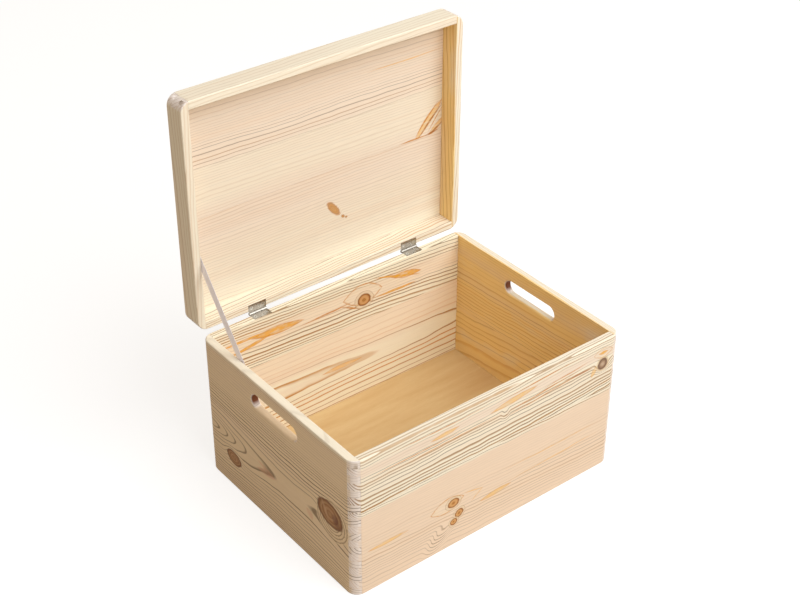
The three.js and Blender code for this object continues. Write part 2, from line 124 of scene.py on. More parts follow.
# %% [markdown]
# ## Helpers for every material
#
# Colours are written as sRGB hex values, as a paint chart gives them, and a shader wants linear
# light. Nodes are added by one small function that sets their options and links or fills
# their sockets, so a pattern reads as a list of steps.

# %% Colour and node helpers
MIX_FACTOR, MIX_A, MIX_B = 0, 6, 7  # sockets of a Mix node that mixes colours
OF_COLOURS = {"data_type": "RGBA", "out": 2}  # what makes a Mix node one of those
NOISE_LOW, NOISE_HIGH = 0.3, 0.7  # nearly all values of a noise lie between these


def linear(hex_colour, alpha=1.0):
    """sRGB to linear light: c / 12.92 below 0.04045, else ((c + 0.055) / 1.055) ** 2.4."""
    parts = [int(hex_colour[i:i + 2], 16) / 255 for i in (1, 3, 5)]
    return (*[c / 12.92 if c <= 0.04045 else ((c + 0.055) / 1.055) ** 2.4 for c in parts], alpha)


def add(tree, kind, inputs=(), out=0, **settings):
    """Adds a shader node with its settings, fills or links its sockets, and returns one output."""
    node = tree.nodes.new("ShaderNode" + kind)
    for key, value in settings.items():
        setattr(node, key, value)
    for key, value in dict(inputs).items():
        if isinstance(value, bpy.types.NodeSocket):
            tree.links.new(value, node.inputs[key])
        else:
            node.inputs[key].default_value = value
    return node.outputs[out]


def new_material(name):
    """An empty node material and its tree."""
    material = bpy.data.materials.new(name)
    material.use_nodes = True
    material.node_tree.nodes.clear()
    return material, material.node_tree


def finish_material(tree, surface):
    """Sends a shader to the tree's output."""
    output = tree.nodes.new("ShaderNodeOutputMaterial")
    tree.links.new(surface, output.inputs["Surface"])


print("mid grey is", [round(c, 3) for c in linear("#808080")])

# %% [markdown]
# ## Pine, planed and sanded, without a finish
#
# A board is cut from a log, so its figure isn't painted on: it is where the faces of the board
# cut the yearly rings. The texture works in the same way. Each point of a board has a distance
# from the pith, the line at the heart of the log, and that distance, counted in rings, gives
# the pale early wood and the darker late wood. The same formula then draws straight lines where
# a board is cut far from the pith, tongues where the log tapers, and arcs on the end grain of
# the fingers, and they all meet at the edges.
#
# A flat picture of wood would be quicker, but it would stop at every edge and show the same
# figure on every board.

# %% Colours of pine
CREAM, BUFF, ROSE = "#f9efda", "#f6e8d2", "#f2dac1"  # early wood
# the middle colour here is painted warm bounce light, for inner faces that catch light thrown back inside the
# box
PINK, WARM_BOUNCE_ORANGE, OAT = "#f4e2ce", "#fedd98", "#f0d9b8"
IVORY, BLUSH = "#fdf4db", "#fceacf"  # the back wall is a little paler
LATE_BROWN, LATE_ORANGE = linear("#62431a"), linear("#d08e2a")
RESIN, RESIN_EDGE = "#f0ae38", "#d88c22"
END_WOOD = linear("#fbf1ec")  # sawn ends look greyer than planed faces
SLOT_END_BROWN = linear("#7c4a30")  # a darker red-brown, laid on the end grain inside a hand slot
PINE_ROUGHNESS = 0.65
WOOD_IOR = 1.5
RAW_WOOD_SPECULAR = 0.2  # open fibres shine much less than a closed surface, which is 0.5

# %% How big the figure of pine is, in millimetres
WAVE_ALONG, WAVE_ACROSS, WAVE_HEIGHT = 150, 40, 3.5  # the slow wander of the grain
RIPPLE_ALONG, RIPPLE_HEIGHT = 28, 0.9  # its small kinks
CLOUD_ALONG, CLOUD_ACROSS = 300, 20  # where rings fade or gain strength
FIBRE_ALONG, FIBRE_ACROSS = 22, 0.6  # coarser than a real fibre, so that it shows
RING_DRIFT = 26  # over how many millimetres wide rings turn into narrow ones
LATE_START, LATE_FULL, LATE_END = 0.78, 0.9, 0.93  # a thin year's late wood, in shares of the year
WIDE_START, WIDE_FULL = 0.84, 0.94  # a wide year's, less what the board gives as wide
KNOT_REACH = 1.9  # the rings feel a knot as far away as this many times its size
KNOT_CORE = 0.1  # inside this share of that reach they are moved in full
KNOT_SPREAD = 0.75  # how far they part round it, from 0 to 1
KNOT_DARKENS = 0.9  # how strong they are beside it, from 0 to 1
KNOT_RING = 1.6  # a knot's own fine rings
EDGE_ALONG, EDGE_ACROSS = 9, 3  # the bites in the edge of a knot or streak
EDGE_RAGGED = 1.8  # how far that edge wanders in and out
EDGE_ROUGHNESS = 0.3  # and at most so, as a share of its size
WARM_BOUNCE_FROM, WARM_BOUNCE_TO = -5, -3.2  # how far through a board the painted warm bounce light on its inner face reaches before it fades out
LATE_RISE = 0.8  # brushed late wood stands a little above the fibres
GRAIN_DEPTH = 0.2  # how deep the fibres are, for the bump
FAR = 1e6  # a scale so long that a direction no longer counts

# %% How strong it is, as shares
YEAR_DRIFT = 0.35  # how far slow drift moves the count of rings, in ring drifts
WARMTH_SPREAD = 0.4  # how much the warmth of late wood differs from year to year
END_FROM, END_TO = 0.1, 0.55  # how squarely a face cuts the grain where it turns into end grain
SQUARE_FROM, SQUARE_TO = 0.5, 0.9  # and where it is cut so squarely that its end grain inside a hand slot is darkened
END_LINES = 0.3  # rings show at least this much on end grain
END_GREYED = 0.9  # how far end grain takes the colour of sawn ends
MOST_ROSY = 0.35  # how far clouds of early wood turn to rose
ROSY_FROM, ROSY_TO = 0.45, 0.7  # in which clouds they do
FADE_FROM, FADE_TO, FADE_LEAST = 0.35, 0.6, 0.85  # in which clouds late wood fades, and how far
MARK_DARK, MARK_LIGHT = 0.92, 1.06  # how unevenly a knot or streak is coloured
PATCHY_FROM, PATCHY_TO, PATCHY_LEAST = 0.3, 0.55, 0.5  # where streaks get thin, and how far
FIBRE_DARK, FIBRE_LIGHT = 0.94, 1.03  # how unevenly fibres take the light
KNOT_RING_SHADE = 0.8  # how dark a knot's own rings get
GRAIN_BUMP = 0.25
ROUGHNESS_SPREAD = 0.08  # how much fibres change the roughness

# %% Noise that is stretched along the grain
SEED_STEP = (3.7, 1.9, 5.3)  # each seed looks this much further into the noise
RIPPLE_SEED, CLOUD_SEED = 5, 2  # added to a board's seed, so that its own patterns differ


def grain_noise(tree, place, seed, along, across, detail, out=0):
    """Noise whose patches are so many millimetres long and wide."""
    moved = add(tree, "Mapping", {
        "Vector": place, "Location": tuple(seed * step for step in SEED_STEP),
        "Scale": (1 / along, 1 / across, 1 / across)})
    return add(tree, "TexNoise", {"Vector": moved, "Scale": 1.0, "Detail": detail}, out=out)


# %% [markdown]
# A knot is the foot of a branch. The rings swell over it and flow round it, so near a knot the
# place that is looked up in the rings is moved. A streak of resin is pointed at both ends, so
# its distance isn't an ellipse's but a lens's. A knot could be painted on instead, but then the
# rings would run straight through it.

# %% How near a point is to a knot or a streak


def from_knot(tree, place, knot, times):
    """Distance from a knot over its size: the length of (p - centre), turned, over its half axes."""
    inside = add(tree, "Mapping", {
        "Vector": place, "Location": (*knot["at"], 0), "Rotation": (0, 0, math.radians(knot["turn"])),
        "Scale": (knot["size"][0] * times, knot["size"][1] * times, FAR)}, vector_type="TEXTURE")
    return add(tree, "VectorMath", {0: inside}, out="Value", operation="LENGTH")


def from_streak(tree, place, streak):
    """Distance from a streak over its size: x^2 + |y|, which is 1 on two arcs that meet in points."""
    inside = add(tree, "Mapping", {
        "Vector": place, "Location": (*streak["at"], 0), "Rotation": (0, 0, math.radians(streak["turn"])),
        "Scale": (*streak["size"], FAR)}, vector_type="TEXTURE")
    x, y, _ = add(tree, "SeparateXYZ", {0: inside}).node.outputs
    y = add(tree, "Math", {0: y}, operation="ABSOLUTE")
    return add(tree, "Math", {0: x, 1: x, 2: y}, operation="MULTIPLY_ADD")


# %% The rings flow round it


def flow_round(tree, across, stronger, place, knot):
    """Moves v to v - f (spread (v - v_knot) - dip), where f falls from 1 at the knot to 0 at its reach."""
    reach = from_knot(tree, place, knot, KNOT_REACH)
    near = add(tree, "MapRange", {
        "Value": reach, "From Min": KNOT_CORE, "From Max": 1.0, "To Min": 1, "To Max": 0},
        interpolation_type="SMOOTHERSTEP")
    off = add(tree, "Math", {0: across, 1: knot["at"][1]}, operation="SUBTRACT")
    spread = KNOT_SPREAD if knot["stops"] else 0
    shift = add(tree, "Math", {0: off, 1: -spread, 2: knot["dip"]}, operation="MULTIPLY_ADD")
    moved = add(tree, "Math", {0: shift, 1: near, 2: across}, operation="MULTIPLY_ADD")
    darker = add(tree, "Math", {0: near, 1: KNOT_DARKENS}, operation="MULTIPLY")
    return moved, add(tree, "Math", {0: darker, 1: stronger}, operation="MAXIMUM")


# %% [markdown]
# Across a knot the colour changes in steps. A live branch leaves an orange heart, pale wood and
# thin orange outlines; a dead one is dark brown right up to its bark, and can have a crack or a
# dark patch. The rings beside it curl round it. A streak of resin has fewer steps, and so has
# the rosy wood at the tip of a tongue. All are given as stops: a distance, a colour, and how
# much of it covers the wood.

# %% Colour by stops


def by_stops(tree, value, stops):
    """A colour and a share, from stops of (value, colour, share), straight between them."""
    low, high = stops[0][0], stops[-1][0]
    place = add(tree, "MapRange", {"Value": value, "From Min": low, "From Max": high})
    colour = add(tree, "ValToRGB", {0: place})
    ramp = colour.node.color_ramp
    for at, _, _ in stops[1:-1]:
        ramp.elements.new((at - low) / (high - low))
    for element, (_, shade, share) in zip(ramp.elements, stops):
        element.color = linear(shade, share)
    return colour, colour.node.outputs["Alpha"]


# %% What knots and streaks look like, from the middle outwards in shares of their size
CURL_RINGS, CURL_COVER = (0.45, 0.6, 0.75, 0.9), 0.85  # where the rings lie that curl round a knot
LIVE_KNOT = [
    (0, "#cd9152", 1), (0.2, "#b8763c", 1), (0.32, "#dfa868", 1), (0.6, "#e2ae74", 1), (0.78, "#c2834a", 1),
    (0.88, "#935a2c", 1), (0.95, "#a3652f", 0.9), (1.03, "#f0d2a6", 0.5), (1.34, "#f3dcba", 0.5),
    (1.42, "#b98a58", 0.7), (1.5, "#f3dcba", 0)]
DEAD_KNOT = [
    (0, "#c49a70", 1), (0.25, "#a5764c", 1), (0.36, "#cba27a", 1), (0.52, "#b5855a", 1), (0.62, "#9c6c44", 1),
    (0.72, "#c39a70", 1), (0.88, "#97683f", 1), (1.0, "#754a2a", 0.9), (1.1, "#96663e", 0)]
EDGE_KNOT = [
    (0, "#dcc4a8", 1), (0.3, "#c4a488", 1), (0.5, "#9a7b62", 1), (0.64, "#846650", 1), (0.76, "#967660", 0.9),
    (0.84, "#e5c79d", 0.7), (1.0, "#efd3a6", 0.5), (1.1, "#efd3a6", 0)]
PALE_CRACK = [(0, "#c9a785", 0.8), (0.7, "#c09c78", 0.6), (1.1, "#c09c78", 0)]
DARK_PATCH = [(0, "#5f3120", 0.7), (0.7, "#6a3a28", 0.5), (1.1, "#6a3a28", 0)]
CURLS = [(0, OAT, CURL_COVER)] + [
    (at + step, shade, CURL_COVER) for at in CURL_RINGS
    for step, shade in ((-0.06, OAT), (0, "#93724a"), (0.02, OAT))] + [(1.03, OAT, 0)]
ROSY_PATCH = [(0, "#dfa888", 0.5), (0.7, "#dfa888", 0.45), (1.05, "#dfa888", 0)]
OVAL_KNOT = [(0, "#dfae74", 1), (0.6, "#d9a163", 1), (0.9, "#cb9259", 0.85), (1.15, "#dda063", 0)]
RESIN_STREAK = [(0, RESIN, 0.9), (0.6, RESIN, 0.85), (0.86, RESIN_EDGE, 0.9), (1.05, RESIN_EDGE, 0)]
PALE_STREAK = [(0, "#f4cb88", 0.85), (0.6, "#f1c47c", 0.8), (0.85, "#dd9f50", 0.75), (1.05, "#dd9f50", 0)]
HALO = [
    (0, "#f6e6d0", 0.3), (0.78, "#f5dfbd", 0.35), (0.88, "#dba05c", 0.8), (0.94, "#cf8c40", 0.8),
    (1.02, "#f0d0a0", 0)]
RESIN_LINE = [(0, "#cf8a3e", 0.95), (0.6, "#cf8a3e", 0.85), (1.05, "#e0a768", 0)]
BROWN_STREAK = [(0, "#a9662f", 0.9), (0.5, "#a9662f", 0.8), (1.05, "#c98b4c", 0)]

# %% A knot or a streak over the wood


def lay_over(tree, wood, mark, reach, rough_edge):
    """Lays a knot or a streak over the wood: its stops are looked up by the distance over its size,
    which wanders a little so that the edge is ragged. A knot that the rings dip at has rings of its
    own, and a streak is patchy."""
    half_width = mark["size"][1]
    ragged = min(EDGE_ROUGHNESS, EDGE_RAGGED / half_width)
    reach = add(tree, "Math", {0: rough_edge, 1: ragged, 2: reach}, operation="MULTIPLY_ADD")
    reach = add(tree, "Math", {0: reach, 1: ragged / 2}, operation="SUBTRACT")
    colour, cover = by_stops(tree, reach, mark["stops"])
    if mark.get("dip") is not None:
        turns = add(tree, "Math", {0: reach, 1: half_width / KNOT_RING}, operation="MULTIPLY")
        ring = add(tree, "Math", {0: turns, 1: 0.5}, operation="PINGPONG")
        shade = add(tree, "MapRange", {
            "Value": ring, "From Max": 0.5, "To Min": 1, "To Max": KNOT_RING_SHADE})
    else:
        shade = add(tree, "MapRange", {
            "Value": rough_edge, "From Min": NOISE_LOW, "From Max": NOISE_HIGH,
            "To Min": MARK_DARK, "To Max": MARK_LIGHT})
    if "dip" not in mark:
        patchy = add(tree, "MapRange", {
            "Value": rough_edge, "From Min": PATCHY_FROM, "From Max": PATCHY_TO, "To Min": PATCHY_LEAST})
        cover = add(tree, "Math", {0: cover, 1: patchy}, operation="MULTIPLY")
    colour = add(tree, "Mix", {MIX_FACTOR: 1.0, MIX_A: colour, MIX_B: shade},
                 **OF_COLOURS, blend_type="MULTIPLY")
    return add(tree, "Mix", {MIX_FACTOR: cover, MIX_A: wood, MIX_B: colour}, **OF_COLOURS)


# %% [markdown]
# The rings come next. Each year's late wood has its own width: thin ones are brown, wide ones
# orange. A log tapers and is seldom straight, so the pith may run at a slant or in a bow: that
# is what draws a tongue, or two tongues that point at each other.

# %% Rings round the pith
DRIFT_STEP, YEAR_STEP = 9.7, 17  # how far apart the seeds look things up


def ring_lines(tree, along, across, depth, cut, spacing, seed, wide, narrowing):
    """Late wood and how wide this year's is, both 0 to 1. The pith lies at the depth
    p = d0 + taper u - bow (u - u_bow)^2, and rings are counted by the distance from it,
    r = sqrt((v - v0)^2 + (d - p)^2), as n = (r + narrowing (r - d0)^2) / spacing, because the years
    outside grow narrower. Each ring fades in slowly and ends sharply."""
    pith, taper, (bow_at, bow) = cut
    v_off = add(tree, "Math", {0: across, 1: pith[0]}, operation="SUBTRACT")
    d_off = add(tree, "Math", {0: depth, 1: pith[1]}, operation="SUBTRACT")
    d_tilted = add(tree, "Math", {0: along, 1: -taper, 2: d_off}, operation="MULTIPLY_ADD")
    from_bow = add(tree, "Math", {0: along, 1: bow_at}, operation="SUBTRACT")
    bowed = add(tree, "Math", {0: from_bow, 1: from_bow}, operation="MULTIPLY")
    d_bowed = add(tree, "Math", {0: bowed, 1: bow, 2: d_tilted}, operation="MULTIPLY_ADD")
    offset = add(tree, "CombineXYZ", {1: v_off, 2: d_bowed})
    radius = add(tree, "VectorMath", {0: offset}, out="Value", operation="LENGTH")
    spot = add(tree, "Math", {
        0: radius, 1: 1 / RING_DRIFT, 2: seed * DRIFT_STEP}, operation="MULTIPLY_ADD")
    drift = add(tree, "TexNoise", {"W": spot, "Scale": 1.0, "Detail": 1.0}, noise_dimensions="1D")
    drift = add(tree, "Math", {0: drift, 1: RING_DRIFT * YEAR_DRIFT / spacing}, operation="MULTIPLY")
    outer = add(tree, "Math", {0: radius, 1: pith[1]}, operation="SUBTRACT")
    closer = add(tree, "Math", {0: outer, 1: narrowing}, operation="MULTIPLY")
    reckoned = add(tree, "Math", {0: outer, 1: closer, 2: radius}, operation="MULTIPLY_ADD")
    count = add(tree, "Math", {0: reckoned, 1: 1 / spacing, 2: drift}, operation="MULTIPLY_ADD")
    part = add(tree, "Math", {0: count}, operation="FRACT")
    number = add(tree, "Math", {0: count}, operation="FLOOR")
    number = add(tree, "Math", {0: number, 1: seed * YEAR_STEP}, operation="ADD")
    year = add(tree, "TexWhiteNoise", {"W": number}, noise_dimensions="1D")
    start = add(tree, "MapRange", {"Value": year, "To Min": LATE_START, "To Max": WIDE_START - wide})
    full = add(tree, "MapRange", {"Value": year, "To Min": LATE_FULL, "To Max": WIDE_FULL - 0.5 * wide})
    rise = add(tree, "MapRange", {"Value": part, "From Min": start, "From Max": full})
    fall = add(tree, "MapRange", {
        "Value": part, "From Min": LATE_END, "From Max": 1.0, "To Min": 1, "To Max": 0})
    return add(tree, "Math", {0: rise, 1: fall}, operation="MULTIPLY"), year


# %% [markdown]
# Each board has its own material, because each is cut from another place in the log. The
# board's axes are named by three letters: along the grain, across it in the face, and through
# the thickness. Stops across the board give its plain wood, from cream to rose, and how strong
# its rings are.

# %% One board's pine


def pine(name, axes, origin, pith, spacing, seed, bands, taper=0.04, bow=(0, 0), wide=0.32,
         warmth=0.4, narrowing=0.0, knots=(), streaks=(), slot=None, warm_bounce=None):
    """Pine for one board. Places are in millimetres from origin: u along, v across, d through. The
    colour given for the inner face is painted warm bounce light, laid on the low side of d."""
    material, tree = new_material(name)
    here = add(tree, "TexCoord", out="Object")
    parts = add(tree, "SeparateXYZ", {0: here}).node.outputs
    turned_round = add(tree, "CombineXYZ", {i: parts["XYZ".index(a)] for i, a in enumerate(axes)})
    start = [-origin["XYZ".index(a)] / MM for a in axes]
    board = add(tree, "Mapping", {
        "Vector": turned_round, "Location": start, "Scale": (1 / MM, 1 / MM, 1 / MM)})

    wave = grain_noise(tree, board, seed, WAVE_ALONG, WAVE_ACROSS, 1.0, out="Color")
    wave = add(tree, "VectorMath", {
        0: wave, 1: (0, 2 * WAVE_HEIGHT, 2 * WAVE_HEIGHT), 2: board}, operation="MULTIPLY_ADD")
    ripple = grain_noise(tree, board, seed + RIPPLE_SEED, RIPPLE_ALONG, RIPPLE_ALONG, 1.0, out="Color")
    place = add(tree, "VectorMath", {
        0: ripple, 1: (0, 2 * RIPPLE_HEIGHT, 2 * RIPPLE_HEIGHT), 2: wave}, operation="MULTIPLY_ADD")
    centred = (0, -WAVE_HEIGHT - RIPPLE_HEIGHT, -WAVE_HEIGHT - RIPPLE_HEIGHT)
    place = add(tree, "VectorMath", {0: place, 1: centred}, operation="ADD")

    facing = add(tree, "TexCoord", out="Normal")
    grain_axis = tuple(float(a == axes[0]) for a in "XYZ")
    end = add(tree, "VectorMath", {0: facing, 1: grain_axis}, out="Value", operation="DOT_PRODUCT")
    end = add(tree, "Math", {0: end}, operation="ABSOLUTE")
    square_on = add(tree, "MapRange", {"Value": end, "From Min": SQUARE_FROM, "From Max": SQUARE_TO})
    end = add(tree, "MapRange", {"Value": end, "From Min": END_FROM, "From Max": END_TO},
              interpolation_type="SMOOTHSTEP")

    along, across, depth = add(tree, "SeparateXYZ", {0: place}).node.outputs
    early, strength = by_stops(tree, across, bands)
    # painted warm bounce light: the inner face, on the low side of d, turns orange
    if warm_bounce:
        in_warm_bounce = add(tree, "MapRange", {
            "Value": depth, "From Min": WARM_BOUNCE_FROM, "From Max": WARM_BOUNCE_TO, "To Min": 1, "To Max": 0})
        early = add(tree, "Mix", {MIX_FACTOR: in_warm_bounce, MIX_A: early, MIX_B: linear(warm_bounce)}, **OF_COLOURS)
    end_lines = add(tree, "Math", {0: end, 1: END_LINES}, operation="MULTIPLY")
    strength = add(tree, "Math", {0: strength, 1: end_lines}, operation="MAXIMUM")
    for knot in [knot for knot in knots if knot["dip"] is not None]:
        across, strength = flow_round(tree, across, strength, place, knot)
    line, year = ring_lines(
        tree, along, across, depth, (pith, taper, bow), spacing, seed, wide, narrowing)
    cloud = grain_noise(tree, place, seed + CLOUD_SEED, CLOUD_ALONG, CLOUD_ACROSS, 1.0)
    fade = add(tree, "MapRange", {
        "Value": cloud, "From Min": FADE_FROM, "From Max": FADE_TO, "To Min": FADE_LEAST})
    late = add(tree, "Math", {0: line, 1: fade}, operation="MULTIPLY")
    late = add(tree, "Math", {0: late, 1: strength}, operation="MULTIPLY")

    rosy = add(tree, "MapRange", {
        "Value": cloud, "From Min": ROSY_FROM, "From Max": ROSY_TO, "To Max": MOST_ROSY})
    wood = add(tree, "Mix", {MIX_FACTOR: rosy, MIX_A: early, MIX_B: linear(ROSE)}, **OF_COLOURS)
    greyed = add(tree, "Math", {0: end, 1: END_GREYED}, operation="MULTIPLY")
    wood = add(tree, "Mix", {MIX_FACTOR: greyed, MIX_A: wood, MIX_B: END_WOOD}, **OF_COLOURS)
    warm = add(tree, "MapRange", {
        "Value": year, "To Min": warmth - WARMTH_SPREAD, "To Max": warmth + WARMTH_SPREAD})
    late_wood = add(tree, "Mix", {MIX_FACTOR: warm, MIX_A: LATE_BROWN, MIX_B: LATE_ORANGE}, **OF_COLOURS)
    wood = add(tree, "Mix", {MIX_FACTOR: late, MIX_A: wood, MIX_B: late_wood}, **OF_COLOURS)

    rough_edge = grain_noise(tree, board, seed, EDGE_ALONG, EDGE_ACROSS, 1.0)
    for streak in streaks:
        wood = lay_over(tree, wood, streak, from_streak(tree, place, streak), rough_edge)
    for knot in [knot for knot in knots if knot["stops"]]:
        wood = lay_over(tree, wood, knot, from_knot(tree, place, knot, 1), rough_edge)
    # the end grain inside a hand slot is darkened to red-brown
    if slot:
        from_slot = from_knot(tree, board, slot, 1)
        in_slot = add(tree, "Math", {0: from_slot, 1: 1.0}, operation="LESS_THAN")
        darkened_end = add(tree, "Math", {0: in_slot, 1: square_on}, operation="MULTIPLY")
        wood = add(tree, "Mix", {MIX_FACTOR: darkened_end, MIX_A: wood, MIX_B: SLOT_END_BROWN}, **OF_COLOURS)

    fibre = grain_noise(tree, board, seed, FIBRE_ALONG, FIBRE_ACROSS, 2.0)
    sheen = add(tree, "MapRange", {
        "Value": fibre, "From Min": NOISE_LOW, "From Max": NOISE_HIGH,
        "To Min": FIBRE_DARK, "To Max": FIBRE_LIGHT})
    wood = add(tree, "Mix", {MIX_FACTOR: 1.0, MIX_A: wood, MIX_B: sheen},
               **OF_COLOURS, blend_type="MULTIPLY")
    height = add(tree, "Math", {0: late, 1: LATE_RISE, 2: fibre}, operation="MULTIPLY_ADD")
    relief = add(tree, "Bump", {
        "Height": height, "Strength": GRAIN_BUMP, "Distance": GRAIN_DEPTH * MM})
    rough = add(tree, "MapRange", {
        "Value": fibre, "To Min": PINE_ROUGHNESS - ROUGHNESS_SPREAD,
        "To Max": PINE_ROUGHNESS + ROUGHNESS_SPREAD})
    finish_material(tree, add(tree, "BsdfPrincipled", {
        "Base Color": wood, "Roughness": rough, "Normal": relief, "IOR": WOOD_IOR,
        "Specular IOR Level": RAW_WOOD_SPECULAR}))
    return material


# %% [markdown]
# ## The boards
#
# The shape of every board is right already, but its mesh is loose triangles. A copy is merged,
# and triangles that lie in one plane are joined, so that rounded corners and slot mouths can be
# shaded smooth while the sawn edges stay sharp and the flat faces flat.

# %% Dress a node: a merged, smooth-shaded copy stands for it
SHARP_ANGLE = math.radians(32)
FLAT_ANGLE = math.radians(0.5)  # triangles that turn less than this are one flat face
MERGE_DISTANCE = 0.001 * MM


def stand_for(piece, node, body):
    """Lets a piece take a node's place: it rides on the body, and the node is hidden."""
    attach(piece, body)
    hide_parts(node)


def dress(node, material, body):
    """A merged copy of a node, in its place, with smooth rounds, sharp edges and a finish."""
    mesh = frame["nodes"][node].data.copy()
    shape = bmesh.new()
    shape.from_mesh(mesh)
    bmesh.ops.remove_doubles(shape, verts=shape.verts, dist=MERGE_DISTANCE)
    bmesh.ops.dissolve_limit(shape, verts=shape.verts, edges=shape.edges, angle_limit=FLAT_ANGLE)
    shape.to_mesh(mesh)
    shape.free()
    mesh.polygons.foreach_set("use_smooth", np.ones(len(mesh.polygons), bool))
    mesh.set_sharp_from_angle(angle=SHARP_ANGLE)
    mesh.materials.clear()
    mesh.materials.append(material)
    piece = bpy.data.objects.new(node + "_dressed", mesh)
    bpy.context.scene.collection.objects.link(piece)
    normals = piece.modifiers.new("even_normals", "WEIGHTED_NORMAL")
    normals.keep_sharp = True
    stand_for(piece, node, body)


# %% [markdown]
# Each wall is two staves glued edge to edge, so the figure stops at the glue line. What makes one
# stave differ from the next is where it lay in its log: the left end was cut flat across a bowed
# log and shows tongues, and the front far from the pith and shows straight lines. The inner face
# of the right end carries painted warm bounce light, an orange from inside the box. All that is
# written as a table of numbers, one row for each stave, instead of a material made by hand for each.

# %% What the faces of the walls show
# u and v are millimetres from the middle of the box and from the ground; a turn is in degrees.


def knot(u, v, half_length, half_width, turn, stops, dip):
    """A knot: its place, size and turn, what it looks like, and how far the rings dip there. With no
    stops it is only a kink in the rings, and with no dip it is only laid over them."""
    return {"at": (u, v), "size": (half_length, half_width), "turn": turn, "stops": stops, "dip": dip}


def streak(u, v, half_length, half_width, turn, stops=RESIN_STREAK):
    """A streak of resin: its place, size and turn, and its colours."""
    return {"at": (u, v), "size": (half_length, half_width), "turn": turn, "stops": stops}


